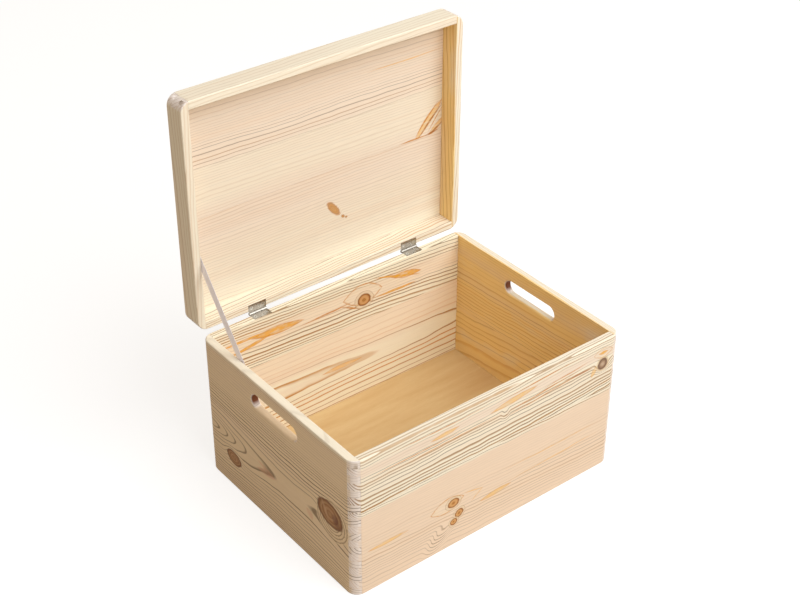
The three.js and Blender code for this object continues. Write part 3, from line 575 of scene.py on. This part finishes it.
HAND_SLOT = {"at": (0, 165), "size": (62, 22), "turn": 0}  # the part of an end that its slot is in
LEFT_LOG = dict(
    axes="YZX", pith=(76, 21.25), bow=(-28, 0.00093), spacing=5.1, seed=5, taper=0, narrowing=0.003,
    wide=0.22, warmth=-0.3)  # both staves of the left end
WALL_BOARDS = {
    "front_board_lower": dict(
        axes="XZY", pith=(-140, 240), spacing=2.8, seed=1, warmth=0.3,
        bands=[(0, ROSE, 0.1), (14, ROSE, 0.3), (26, ROSE, 0.5), (52, ROSE, 0.48), (57, ROSE, 0.15),
               (72, ROSE, 0.2), (77, ROSE, 0.25), (82, ROSE, 0.1), (114, ROSE, 0.08), (117, CREAM, 0.9),
               (121, CREAM, 1)],
        knots=[knot(-57, 66, 8.5, 6.5, 0, LIVE_KNOT, 6), knot(-48, 46, 7, 6, 40, LIVE_KNOT, 5),
               knot(-56, 36, 5.5, 5, 20, LIVE_KNOT, 4), knot(-80, 20, 20, 9.5, 44, None, 10)],
        streaks=[streak(-152, 61, 31, 2.6, 0, PALE_STREAK), streak(-66, 66.5, 26, 11, 6, HALO),
                 streak(-26, 69, 16, 1.0, -14, PALE_STREAK),
                 streak(-21, 60, 12, 0.9, 36, PALE_STREAK), streak(100, 74, 82, 0.8, -1, PALE_STREAK),
                 streak(100, 55, 82, 0.9, 1, PALE_STREAK), streak(8, 48, 26, 4, 4, PALE_STREAK)]),
    "front_board_upper": dict(
        axes="XZY", pith=(-40, 233), spacing=2.9, seed=2, taper=-0.015, warmth=0.25, wide=0.56,
        bands=[(121, CREAM, 1), (136, CREAM, 1), (144, BUFF, 0.8), (150, CREAM, 0.75), (168, CREAM, 0.7),
               (171, PINK, 0.2), (179, PINK, 0.2), (183, CREAM, 0.7), (195, CREAM, 0.7)],
        knots=[knot(172, 162, 10, 9.5, 0, EDGE_KNOT, 7), knot(18, 158, 5, 8, 0, None, 4)],
        streaks=[streak(-72, 174.5, 22, 3.2, 3, PALE_STREAK), streak(30, 174, 38, 4, 5, PALE_STREAK),
                 streak(172, 177, 16, 6.5, 0, HALO), streak(172, 177, 8, 2, 0),
                 streak(-110, 166, 75, 0.8, 1, RESIN_LINE), streak(-60, 161.5, 80, 0.7, 1, RESIN_LINE),
                 streak(80, 165, 66, 1.2, 4, RESIN_LINE), streak(80, 159, 70, 0.8, 4, RESIN_LINE),
                 streak(110, 171, 46, 0.9, 5, RESIN_LINE), streak(132, 163.5, 28, 1.8, -2, BROWN_STREAK),
                 streak(158, 156, 8, 3.6, 60, PALE_STREAK), streak(75, 183, 78, 1, 2, RESIN_LINE),
                 streak(-80, 184, 90, 0.8, 0, RESIN_LINE)]),
    "back_board_lower": dict(
        axes="XZY", pith=(69.5, 20), spacing=6.0, seed=3, warmth=0.95, wide=0.22, taper=0.02,
        bands=[(0, IVORY, 1), (59, IVORY, 1), (65, IVORY, 0.45), (74, IVORY, 0.45), (79, IVORY, 1),
               (84, IVORY, 1), (91, BLUSH, 0.4), (105, BLUSH, 0.2), (127, BLUSH, 0.25)],
        streaks=[streak(-2, 69, 34, 3.5, 0, PALE_STREAK)]),
    "back_board_upper": dict(
        axes="XZY", pith=(-40, 233), spacing=3.1, seed=4, warmth=0.35, wide=0.45,
        bands=[(127, IVORY, 0.9), (150, IVORY, 1), (157, BLUSH, 0.4), (160, BLUSH, 0.2), (174, BLUSH, 0.2),
               (178, IVORY, 0.9), (195, IVORY, 0.9)],
        knots=[knot(34, 157, 10.5, 9, 0, LIVE_KNOT, -9)],
        streaks=[streak(32, 166, 32, 16, 0, HALO), streak(-98, 167, 40, 6, -3),
                 streak(-146, 171.5, 40, 1.8, -1), streak(-140, 160.5, 34, 2.4, 8),
                 streak(-25, 159, 46, 1.6, 2, RESIN_LINE),
                 streak(13, 153, 20, 1.6, -24, RESIN_LINE), streak(88, 172, 42, 1.6, -16),
                 streak(102, 170, 26, 5, -8), streak(84, 153.5, 36, 2, -1)]),
    "left_end_lower": dict(
        LEFT_LOG,
        bands=[(0, OAT, 0.5), (14, OAT, 0.9), (30, OAT, 0.9), (36, OAT, 0.45), (48, OAT, 0.5), (54, OAT, 0.9),
               (74, OAT, 0.75)],
        knots=[knot(-110, 88, 31, 30, 0, CURLS, None), knot(93, 47, 15, 10, 6, DEAD_KNOT, -8)],
        streaks=[streak(20, 71, 24, 5, -10, ROSY_PATCH), streak(-66, 70, 12, 6, 60, ROSY_PATCH)]),
    "left_end_upper": dict(
        LEFT_LOG, slot=HAND_SLOT,
        bands=[(74, OAT, 0.75), (86, OAT, 0.7), (104, OAT, 0.55), (110, OAT, 1), (138, OAT, 1),
               (148, OAT, 0.3), (180, OAT, 0.2), (189, OAT, 0.5), (194, CREAM, 0.15)],
        knots=[knot(-110, 88, 31, 30, 0, CURLS, None), knot(-106, 96, 23, 16, 10, DEAD_KNOT, 8),
               knot(-117, 93, 9, 7, 70, DARK_PATCH, None), knot(-97, 97, 15, 2.4, 62, PALE_CRACK, None)],
        streaks=[streak(20, 76, 22, 4, 12, ROSY_PATCH)]),
    # the inner faces of both right staves carry painted warm bounce light
    "right_end_lower": dict(
        axes="YZX", pith=(-40, 240), spacing=3.4, seed=7, warmth=0.7, warm_bounce=WARM_BOUNCE_ORANGE,
        bands=[(0, CREAM, 0.4), (86, CREAM, 0.4)]),
    "right_end_upper": dict(
        axes="YZX", pith=(-60, 240), spacing=3.4, seed=8, warmth=0.7, warm_bounce=WARM_BOUNCE_ORANGE, slot=HAND_SLOT,
        bands=[(86, CREAM, 0.5), (142, CREAM, 0.5), (150, CREAM, 0.2), (195, CREAM, 0.25)]),
}


def board_origin(node, axes):
    """The point that a board's millimetres start from: the middle of the box along it, the ground, and
    the middle of the board's own thickness."""
    origin = Vector((CENTRE_X, CENTRE_Y, 0))
    through = "XYZ".index(axes[2])
    origin[through] = middle(node)[through]
    return origin


for node, cut in WALL_BOARDS.items():
    wood = pine("pine_" + node, origin=board_origin(node, cut["axes"]), **cut)
    dress(node, wood, "box")
print(len(WALL_BOARDS), "wall boards dressed")

# %% [markdown]
# The lid is made like the walls: four rails with fingers at the corners, and a thin panel of
# three staves. Its wood is calmer, with one oval knot, two tiny ones beside it, and one brown
# spike, the foot of a branch that was cut along its length.

# %% What the lid's rails and panel show
LID_BOARDS = {
    "lid_front_rail": dict(
        axes="XYZ", pith=(350, 240), spacing=3.6, seed=11, bands=[(100, CREAM, 0.22), (200, CREAM, 0.22)]),
    "lid_back_rail": dict(
        axes="XYZ", pith=(350, 260), spacing=3.6, seed=12, bands=[(100, CREAM, 0.6), (200, CREAM, 0.6)]),
    "lid_left_rail": dict(
        axes="ZYX", pith=(350, 240), spacing=3.6, seed=13, bands=[(100, CREAM, 0.25), (200, CREAM, 0.25)]),
    # the inner face of this rail carries painted warm bounce light
    "lid_right_rail": dict(
        axes="ZYX", pith=(350, 250), spacing=3.6, seed=14, warmth=0.7, warm_bounce=WARM_BOUNCE_ORANGE,
        bands=[(100, CREAM, 0.5), (200, CREAM, 0.5)]),
}
PANEL_STAVES = {
    "lid_panel_front_stave": dict(
        axes="XZY", pith=(100, 160), spacing=3.8, seed=15, warmth=0.3, wide=0.16, taper=0.008,
        bands=[(395, BUFF, 0.2), (400, PINK, 0.7), (424, PINK, 0.7), (430, PINK, 0.3), (490, PINK, 0.3)],
        streaks=[streak(130, 447, 60, 1, 1, PALE_STREAK)]),
    "lid_panel_middle_stave": dict(
        axes="XZY", pith=(100, 160), spacing=3.6, seed=16, warmth=0.2, taper=0.008,
        bands=[(333, PINK, 0.2), (352, BUFF, 0.18), (380, BUFF, 0.2), (395, BUFF, 0.2)],
        streaks=[streak(168, 355, 34, 6, 47, PALE_STREAK), streak(181, 342, 20, 4, 38, PALE_STREAK),
                 streak(165, 357, 30, 1.6, 48, RESIN_LINE), streak(171, 353, 33, 1.8, 45, BROWN_STREAK),
                 streak(180, 354, 24, 1, 52, RESIN_LINE), streak(179, 339, 17, 1.6, 30, BROWN_STREAK),
                 streak(173, 335.5, 15, 1.8, 8, BROWN_STREAK), streak(144, 334.5, 24, 1.4, 0, RESIN_LINE)]),
    "lid_panel_back_stave": dict(
        axes="XZY", pith=(-60, 160), spacing=3.6, seed=17, warmth=0.2, taper=0.008,
        bands=[(200, CREAM, 0.3), (225, CREAM, 0.2), (270, BUFF, 0.2), (310, PINK, 0.25), (333, PINK, 0.25)],
        knots=[knot(18, 278, 14, 5, -52, OVAL_KNOT, 4), knot(32, 262.5, 2.6, 1.8, -30, LIVE_KNOT, 0),
               knot(37, 260, 1.6, 1.2, 0, LIVE_KNOT, 0)]),
}
for boards, slot in ((LID_BOARDS, "pine_lid_rails"), (PANEL_STAVES, "pine_lid_panel")):
    for node, cut in boards.items():
        wood = pine("pine_" + node, origin=board_origin(node, cut["axes"]), **cut)
        dress(node, wood, "lid")
print(len(LID_BOARDS) + len(PANEL_STAVES), "lid boards dressed")

# %% [markdown]
# ## The floor of the box
#
# The floor is a thin sheet of poplar plywood, peeled from a turning log, so its figure is only a
# faint cloud that runs along the sheet. It is a shade browner than the pine.

# %% Plywood
PLY_PALE, PLY_DARK = linear("#e2c592"), linear("#d6b27e")
PLY_CLOUD_ALONG, PLY_CLOUD_ACROSS = 120, 14  # millimetres
PLY_FIBRE_ALONG, PLY_FIBRE_ACROSS = 9, 0.6
PLY_ROUGHNESS = 0.6
PLY_FIBRE_SHARE = 0.35  # fibres mottle the sheet this much, beside the clouds
PLY_FROM, PLY_TO = 0.45, 0.9  # from all pale to all dark
PLY_BUMP, PLY_FIBRE_DEPTH = 0.1, 0.1  # the depth in millimetres

plywood, tree = new_material("poplar_plywood")
here = add(tree, "TexCoord", out="Object")
cloud_place = add(tree, "Mapping", {
    "Vector": here, "Scale": (1 / (PLY_CLOUD_ALONG * MM), 1 / (PLY_CLOUD_ACROSS * MM), 1)})
cloud = add(tree, "TexNoise", {"Vector": cloud_place, "Scale": 1.0, "Detail": 3.0})
fibre_place = add(tree, "Mapping", {
    "Vector": here, "Scale": (1 / (PLY_FIBRE_ALONG * MM), 1 / (PLY_FIBRE_ACROSS * MM), 1)})
fibre = add(tree, "TexNoise", {"Vector": fibre_place, "Scale": 1.0, "Detail": 1.0})
mottle = add(tree, "Math", {0: fibre, 1: PLY_FIBRE_SHARE, 2: cloud}, operation="MULTIPLY_ADD")
mottle = add(tree, "MapRange", {"Value": mottle, "From Min": PLY_FROM, "From Max": PLY_TO})
sheet = add(tree, "Mix", {MIX_FACTOR: mottle, MIX_A: PLY_PALE, MIX_B: PLY_DARK}, **OF_COLOURS)
relief = add(tree, "Bump", {"Height": fibre, "Strength": PLY_BUMP, "Distance": PLY_FIBRE_DEPTH * MM})
finish_material(tree, add(tree, "BsdfPrincipled", {
    "Base Color": sheet, "Roughness": PLY_ROUGHNESS, "Normal": relief, "IOR": WOOD_IOR,
    "Specular IOR Level": RAW_WOOD_SPECULAR}))
dress("floor_panel", plywood, "box")

# %% [markdown]
# ## Hinges of nickel-plated steel
#
# The leaves are stamped from thin strip and rolled round the pin, then plated. Plating is
# bright and only a little cloudy, so the roughness is low and wanders slightly. One number for
# the roughness would be simpler, but it makes metal look like plastic film.

# %% Metal that is bright with cloudy patches


def cloudy_metal(name, colour, patch, detail, bright, cloudy):
    """Metal whose roughness wanders between bright and cloudy, in patches of so many millimetres."""
    material, tree = new_material(name)
    here = add(tree, "TexCoord", out="Object")
    patches = add(tree, "TexNoise", {"Vector": here, "Scale": 1 / (patch * MM), "Detail": detail})
    rough = add(tree, "MapRange", {
        "Value": patches, "From Min": NOISE_LOW, "From Max": NOISE_HIGH, "To Min": bright, "To Max": cloudy})
    finish_material(tree, add(tree, "BsdfPrincipled", {
        "Base Color": colour, "Metallic": 1.0, "Roughness": rough}))
    return material


# %% Nickel plate on the hinges
nickel = cloudy_metal(
    "nickel_plated_steel", linear("#a59e94"), patch=3.5, detail=3.0, bright=0.18, cloudy=0.34)
for side in ("left", "right"):
    dress(f"hinge_{side}_box_leaf", nickel, "box")
    dress(f"hinge_{side}_pin", nickel, "box")
    dress(f"hinge_{side}_lid_leaf", nickel, "lid")

# %% [markdown]
# ## Screws and tacks
#
# Screws and tacks are round, so each is one surface of two parameters: how far along its
# outline, and the angle. The screw adds two things to a plain turning: a cross is pressed into
# the head, and the shank carries a thread, a ridge that climbs one pitch for each turn. Rows of
# points can follow both, which a turned outline alone couldn't show.

# %% A closed surface from a grid of points
TURN_COLUMNS = 96


def surface(name, points, material):
    """A mesh from points[i, j]: quads join neighbours, j closes on itself, and a fan closes each end row."""
    rows, columns = points.shape[:2]
    index = np.arange(rows * columns).reshape(rows, columns)
    following = np.roll(index, -1, axis=1)
    quads = np.stack([index[:-1], following[:-1], following[1:], index[1:]], axis=-1).reshape(-1, 4)
    middles = np.stack([points[0].mean(axis=0), points[-1].mean(axis=0)])
    first, last = rows * columns, rows * columns + 1
    start_fan = np.stack([following[0], index[0], np.full(columns, first)], axis=-1)
    end_fan = np.stack([index[-1], following[-1], np.full(columns, last)], axis=-1)
    mesh = bpy.data.meshes.new(name)
    mesh.from_pydata(
        np.concatenate([points.reshape(-1, 3), middles]).tolist(), [],
        quads.tolist() + start_fan.tolist() + end_fan.tolist())
    mesh.polygons.foreach_set("use_smooth", np.ones(len(mesh.polygons), bool))
    mesh.set_sharp_from_angle(angle=SHARP_ANGLE)
    mesh.materials.append(material)
    piece = bpy.data.objects.new(name, mesh)
    bpy.context.scene.collection.objects.link(piece)
    return piece


def turned(outline, columns=TURN_COLUMNS):
    """Points of a turning about z: (r cos a, r sin a, z) for each (r, z) of the outline and each angle a."""
    angle = np.arange(columns) * 2 * np.pi / columns
    radius, height = np.asarray(outline, float).T[:, :, None]
    return np.stack(
        [radius * np.cos(angle), radius * np.sin(angle), height + 0 * angle], axis=-1)


def smooth(low, high, value):
    """0 below low, 1 above high, and 3 t^2 - 2 t^3 between them."""
    t = np.clip((value - low) / (high - low), 0, 1)
    return t * t * (3 - 2 * t)


def stood(points, place, direction, spin=0.0):
    """Turns a piece that points up to a direction, and moves it to its place: millimetres to metres."""
    turn = Vector((0, 0, 1)).rotation_difference(Vector(direction)).to_matrix()
    turn = np.array(turn @ Matrix.Rotation(spin, 3, "Z"))
    return points * MM @ turn.T + np.array(place)


# %% A small countersunk screw, in millimetres down from the top of its head
SCREW_HEAD, SCREW_SHANK = 2.3, 1.15  # radii
SCREW_EDGE, SCREW_HEAD_DEPTH = 0.12, 1.3
SCREW_LENGTH, SCREW_POINT = 9.0, 2.0
THREAD_PITCH, THREAD_DEPTH = 0.95, 0.22
THREAD_START, THREAD_FULL = 0.3, 1.2  # under the head
CROSS_HALF_WIDTH, CROSS_REACH, CROSS_DEPTH = 0.3, 1.4, 0.9
CROSS_FLANK, CROSS_EASE, CROSS_RUNOUT = 0.1, 0.05, 0.6  # how its sides and ends slope
TIP_RADIUS = 0.02
HEAD_ROWS, SHANK_ROWS, POINT_ROWS = 24, 72, 20

head_radii = np.linspace(SCREW_HEAD / HEAD_ROWS, SCREW_HEAD, HEAD_ROWS)
shank_depths = np.linspace(SCREW_HEAD_DEPTH, SCREW_LENGTH - SCREW_POINT, SHANK_ROWS)
point_depths = np.linspace(SCREW_LENGTH - SCREW_POINT, SCREW_LENGTH, POINT_ROWS)[1:]
point_radii = SCREW_SHANK * (SCREW_LENGTH - point_depths) / SCREW_POINT + TIP_RADIUS
screw_outline = np.concatenate([
    np.stack([head_radii, 0 * head_radii], axis=-1),
    [(SCREW_HEAD, -SCREW_EDGE)],
    np.stack([SCREW_SHANK + 0 * shank_depths, -shank_depths], axis=-1),
    np.stack([point_radii, -point_depths], axis=-1),
])
print("the screw's outline has", len(screw_outline), "points")

# %% Press the cross and cut the thread
screw = turned(screw_outline)
on_head = np.arange(len(screw))[:, None] < HEAD_ROWS
off_arm = np.minimum(abs(screw[..., 0]), abs(screw[..., 1]))
from_axis = np.hypot(screw[..., 0], screw[..., 1])
pressed = smooth(CROSS_HALF_WIDTH + CROSS_FLANK, CROSS_HALF_WIDTH - CROSS_EASE, off_arm)
pressed = pressed * smooth(CROSS_REACH, CROSS_REACH - CROSS_RUNOUT, from_axis) * on_head

turns_round = np.arctan2(screw[..., 1], screw[..., 0]) / (2 * np.pi)
climb = (screw[..., 2] / THREAD_PITCH - turns_round) % 1.0
valley = THREAD_DEPTH * (1 - abs(2 * climb - 1) ** 3)
under_head = -screw[..., 2] - SCREW_HEAD_DEPTH
threaded = smooth(THREAD_START, THREAD_FULL, under_head) * ~on_head
screw[..., :2] *= (1 - threaded * valley / SCREW_SHANK)[..., None]
screw[..., 2] -= CROSS_DEPTH * pressed
print("the cross is", round(CROSS_DEPTH * pressed.max(), 2), "mm deep, the thread", THREAD_DEPTH, "mm")

# %% Bright steel for screws and tacks
# They are formed from drawn wire and tumbled, so they are paler than the plate and less even.
fastener_steel = cloudy_metal(
    "bright_steel", linear("#c6c2ba"), patch=1.2, detail=2.0, bright=0.22, cloudy=0.38)

# %% Drive the screws where the frame has them
SCREW_SPINS = {"1": 0.35, "2": 1.1}  # radians: no two crosses stop at the same angle
for side in ("left", "right"):
    for body, way in (("box", (0, 0, 1)), ("lid", (0, -1, 0))):
        for number, spin in SCREW_SPINS.items():
            node = f"hinge_{side}_{body}_screw_{number}"
            low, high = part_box(node)
            top = middle(node)
            top[1 if body == "lid" else 2] = low.y if body == "lid" else high.z
            piece = surface(node + "_turned", stood(screw, top, way, spin), fastener_steel)
            stand_for(piece, node, body)
print(2 * 2 * len(SCREW_SPINS), "screws of", len(screw) * TURN_COLUMNS, "points")

# %% [markdown]
# The tacks that hold the ribbon have a domed head, so their outline is an arc, a small rim and a
# tapering shank.

# %% Tacks
TACK_HEAD, TACK_HEIGHT, TACK_RIM = 3.0, 0.9, 0.35
TACK_SHANK, TACK_LENGTH, TACK_POINT = 0.8, 8.0, 2.0
TACK_EDGE, TACK_UNDERCUT, TACK_TIP = 0.12, 0.1, 0.03
DOME_ROWS = 20

rise = np.linspace(TACK_TIP, 1, DOME_ROWS)
dome = np.stack([
    TACK_HEAD * np.sin(rise * np.pi / 2),
    TACK_RIM + (TACK_HEIGHT - TACK_RIM) * np.cos(rise * np.pi / 2),
], axis=-1)
tack_outline = np.concatenate([
    dome, [(TACK_HEAD, TACK_EDGE), (TACK_HEAD - TACK_UNDERCUT, 0.0), (TACK_SHANK, 0.0)],
    [(TACK_SHANK, -(TACK_LENGTH - TACK_POINT)), (TACK_TIP, -TACK_LENGTH)]])
for node, body in (("ribbon_box_tack", "box"), ("ribbon_lid_tack", "lid")):
    seat = middle(node)
    seat.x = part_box(node)[1].x - TACK_HEIGHT * MM
    piece = surface(node + "_turned", stood(turned(tack_outline), seat, (1, 0, 0)), fastener_steel)
    stand_for(piece, node, body)
    print(node, "sits at", [round(c, 4) for c in seat])

# %% [markdown]
# ## The ribbon that stops the lid
#
# A strip of satin ribbon ties the end wall to the lid's side rail. It is one strip: each end is
# folded back under itself for a hem, and a tack goes through both layers. So the surface is made
# the way the ribbon is: a path through both folds, and an outline of the strip that is carried
# along it, a little thicker at the two woven edges. The weave itself is far finer than a
# picture shows, so it is a bump in the material.

# %% The path of the ribbon's middle: u along the strip, x off the wall
RIBBON_WIDTH = 12.5
CLOTH_THICKNESS = 0.36
SELVEDGE = 0.05  # how much thicker the woven edge is, on each side
TAIL, HEM = 5.0, 9.0
LAYER_STEP = 0.5  # from the middle of the layer at the wall to the middle of the hem
FOLD_ROWS, HEM_ROWS, FREE_ROWS = 13, 10, 160

box_tack, lid_tack = middle("ribbon_box_tack"), middle("ribbon_lid_tack")
ribbon_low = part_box("lid_ribbon")[0]
up_strip = Vector((0, lid_tack.y - box_tack.y, lid_tack.z - box_tack.z))
span = up_strip.length / MM
up_strip.normalize()
over_strip = Vector((0, -up_strip.z, up_strip.y))

fold = np.linspace(-np.pi / 2, np.pi / 2, FOLD_ROWS)
fold_radius = LAYER_STEP / 2
lid_end, box_end = span + TAIL - fold_radius, -TAIL + fold_radius
lid_fold = np.stack([lid_end + fold_radius * np.cos(fold), fold_radius * np.sin(fold)], axis=-1)
box_fold = np.stack([box_end - fold_radius * np.cos(fold), -fold_radius * np.sin(fold)], axis=-1)
hem_steps = np.linspace(0, 1, HEM_ROWS)[:-1, None]
box_hem = np.array([box_end + HEM, fold_radius]) * (1 - hem_steps) + box_fold[0] * hem_steps
free_steps = np.linspace(0, 1, FREE_ROWS)[1:-1, None]
free_span = box_fold[-1] * (1 - free_steps) + lid_fold[0] * free_steps
lid_hem = lid_fold[-1] * (1 - hem_steps) + np.array([lid_end - HEM, fold_radius]) * hem_steps
strip_path = np.concatenate([box_hem, box_fold, free_span, lid_fold, lid_hem[1:]])

# %% Carry the strip's outline along the path
STRIP_COLUMNS = 21
EDGE_ROUND = 0.1  # where the strip's edge starts to round off, from its side
SELVEDGE_INNER, SELVEDGE_OUTER = 1.0, 0.5  # where it thickens, from its side

half = RIBBON_WIDTH / 2
across_strip = np.linspace(-half + EDGE_ROUND, half - EDGE_ROUND, STRIP_COLUMNS)
in_selvedge = smooth(half - SELVEDGE_INNER, half - SELVEDGE_OUTER, abs(across_strip))
thicker = CLOTH_THICKNESS / 2 + SELVEDGE * in_selvedge
strip_outline = np.concatenate([
    np.stack([across_strip, thicker], axis=-1), [(half, 0.0)],
    np.stack([across_strip, -thicker], axis=-1)[::-1], [(-half, 0.0)]])

ahead = np.gradient(strip_path, axis=0)
ahead /= np.linalg.norm(ahead, axis=1)[:, None]
outwards = np.stack([-ahead[:, 1], ahead[:, 0]], axis=-1)
place_along = strip_path[:, None] + strip_outline[None, :, 1:] * outwards[:, None]
off_wall = ribbon_low.x + (CLOTH_THICKNESS / 2 + SELVEDGE + fold_radius + place_along[..., 1]) * MM
strip = (
    np.array((0.0, box_tack.y, box_tack.z))
    + place_along[..., :1] * MM * np.array(up_strip)
    + strip_outline[None, :, :1] * MM * np.array(over_strip)
)
strip[..., 0] = off_wall
print("it lies from", round((off_wall.min() - ribbon_low.x) / MM, 2), "to",
      round((off_wall.max() - ribbon_low.x) / MM, 2), "mm off the wall")

# %% Satin, with its weave laid along the strip
# Satin's threads lie long and flat on its face, which gives it a soft sheen.
RIBBON_LILAC, RIBBON_SHADE = linear("#f2ecff"), linear("#e4dcf6")
WARP_THREAD, WEFT_THREAD = 0.25, 0.45  # millimetres, coarser than a real satin, so that they show
WARP_SHARE = 0.5  # the warp stands out half as much as the weft
WEAVE_BUMP, WEAVE_DEPTH = 0.3, 0.05  # the depth in millimetres
SLUB_ALONG, SLUB_ACROSS = 9, 0.5  # millimetres: the uneven threads that shade the cloth
SATIN_ROUGHNESS, SATIN_SHEEN = 0.42, 0.25
CLOTH_GLOW, GLOW_REACH = 0.8, 2  # how much light passes through the cloth, and how many millimetres
turn_to_strip = math.atan2(up_strip.z, up_strip.y)

satin, tree = new_material("satin_ribbon")
here = add(tree, "TexCoord", out="Object")
along_strip = add(tree, "Mapping", {
    "Vector": here, "Location": (0, *box_tack[1:]), "Rotation": (turn_to_strip, 0, 0),
    "Scale": (MM, MM, MM)}, vector_type="TEXTURE")
_, run, side = add(tree, "SeparateXYZ", {0: along_strip}).node.outputs
warp = add(tree, "Math", {0: side, 1: 2 * math.pi / WARP_THREAD}, operation="MULTIPLY")
warp = add(tree, "Math", {0: warp}, operation="SINE")
weft = add(tree, "Math", {0: run, 1: 2 * math.pi / WEFT_THREAD}, operation="MULTIPLY")
weft = add(tree, "Math", {0: weft}, operation="SINE")
weave = add(tree, "Math", {0: warp, 1: WARP_SHARE, 2: weft}, operation="MULTIPLY_ADD")
uneven_place = add(tree, "Mapping", {"Vector": along_strip, "Scale": (1, 1 / SLUB_ALONG, 1 / SLUB_ACROSS)})
uneven = add(tree, "TexNoise", {"Vector": uneven_place, "Scale": 1.0, "Detail": 2.0})
cloth = add(tree, "Mix", {MIX_FACTOR: uneven, MIX_A: RIBBON_LILAC, MIX_B: RIBBON_SHADE}, **OF_COLOURS)
relief = add(tree, "Bump", {"Height": weave, "Strength": WEAVE_BUMP, "Distance": WEAVE_DEPTH * MM})
finish_material(tree, add(tree, "BsdfPrincipled", {
    "Base Color": cloth, "Roughness": SATIN_ROUGHNESS, "Sheen Weight": SATIN_SHEEN, "Normal": relief,
    "Subsurface Weight": CLOTH_GLOW, "Subsurface Radius": (1, 1, 1),
    "Subsurface Scale": GLOW_REACH * MM}))

# %% The ribbon, made in place
ribbon = surface("lid_ribbon_strip", strip, satin)
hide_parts("lid_ribbon")
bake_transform(ribbon)
print("the ribbon has", len(ribbon.data.polygons), "faces")

# %% [markdown]
# ## A pale floor
#
# The floor has two tasks that pull apart: it has to look white, and it has to keep a soft shadow
# so that the box stands on something. So what the camera sees, and what shines in metal, is a
# matte floor with a glow of its own; what lights the wood is a plain warm-grey floor, which
# throws back about as much as a wooden table would.

# %% The floor that the camera sees, and the one that lights the box
FLOOR_WIDTH = 12  # metres
FLOOR_MATTE, FLOOR_GLOW = 0.4, 0.76
FLOOR_BOUNCE = (0.60, 0.53, 0.44, 1)


def seen_or_reflected(tree):
    """1 for rays from the camera, off gloss or through glass, and 0 for rays that only light the scene."""
    ray = add(tree, "LightPath").node.outputs
    seen = add(tree, "Math", {0: ray["Is Camera Ray"], 1: ray["Is Glossy Ray"]}, operation="MAXIMUM")
    return add(tree, "Math", {0: seen, 1: ray["Is Transmission Ray"]}, operation="MAXIMUM")


pale_floor, tree = new_material("pale_floor")
matte = add(tree, "BsdfDiffuse", {"Color": (FLOOR_MATTE, FLOOR_MATTE, FLOOR_MATTE, 1)})
glow = add(tree, "Emission", {"Color": (1, 1, 1, 1), "Strength": FLOOR_GLOW})
shown = add(tree, "AddShader", {0: matte, 1: glow})
bounce = add(tree, "BsdfDiffuse", {"Color": FLOOR_BOUNCE})
finish_material(tree, add(tree, "MixShader", {0: seen_or_reflected(tree), 1: bounce, 2: shown}))

corners = np.array([(-1, -1), (1, -1), (1, 1), (-1, 1)]) * FLOOR_WIDTH / 2
ground_mesh = bpy.data.meshes.new("ground")
ground_mesh.from_pydata(np.pad(corners, ((0, 0), (0, 1))).tolist(), [], [(0, 1, 2, 3)])
ground_mesh.materials.append(pale_floor)
ground = bpy.data.objects.new("ground", ground_mesh)
bpy.context.scene.collection.objects.link(ground)
print("the floor is", FLOOR_WIDTH, "m wide")

# %% [markdown]
# ## Soft light from the right and a warm room
#
# The front of the box is more than twice as bright as its left end, so the light comes from the
# right of the camera, and high, because the rims are as bright as the front. A large round lamp
# keeps the shadows soft. The rest of the light is a dim, slightly warm room, which is white only
# for the camera and for reflections.

# %% The room
ROOM_LIGHT = (0.41, 0.34, 0.265, 1)

studio = bpy.data.worlds.new("studio")
bpy.context.scene.world = studio
studio.use_nodes = True
tree = studio.node_tree
tree.nodes.clear()
room = add(tree, "Background", {"Color": ROOM_LIGHT, "Strength": 1})
white = add(tree, "Background", {"Color": (1, 1, 1, 1), "Strength": 1})
backdrop = add(tree, "MixShader", {0: seen_or_reflected(tree), 1: room, 2: white})
room_output = tree.nodes.new("ShaderNodeOutputWorld")
tree.links.new(backdrop, room_output.inputs["Surface"])
print("the room gives", ROOM_LIGHT[:3])

# %% The lamp
LAMP_WIDTH, LAMP_AWAY, LAMP_WATTS = 2.8, 2.4, 64
LAMP_COLOUR = (0.94, 1.0, 1.05)
LAMP_HEIGHT_AIMED = 0.2  # it shines at a point this high over the middle of the box
towards_lamp = Vector((0.22, -0.64, 0.76)).normalized()

lamp = bpy.data.objects.new("lamp", bpy.data.lights.new("lamp", "AREA"))
lamp.data.shape = "DISK"
lamp.data.size = LAMP_WIDTH
lamp.data.energy = LAMP_WATTS
lamp.data.color = LAMP_COLOUR
lamp.location = Vector((CENTRE_X, CENTRE_Y, LAMP_HEIGHT_AIMED)) + towards_lamp * LAMP_AWAY
lamp.rotation_euler = towards_lamp.to_track_quat("Z", "Y").to_euler()
bpy.context.scene.collection.objects.link(lamp)
bpy.context.scene.view_settings.view_transform = "Standard"
print("the lamp hangs at", [round(c, 2) for c in lamp.location])
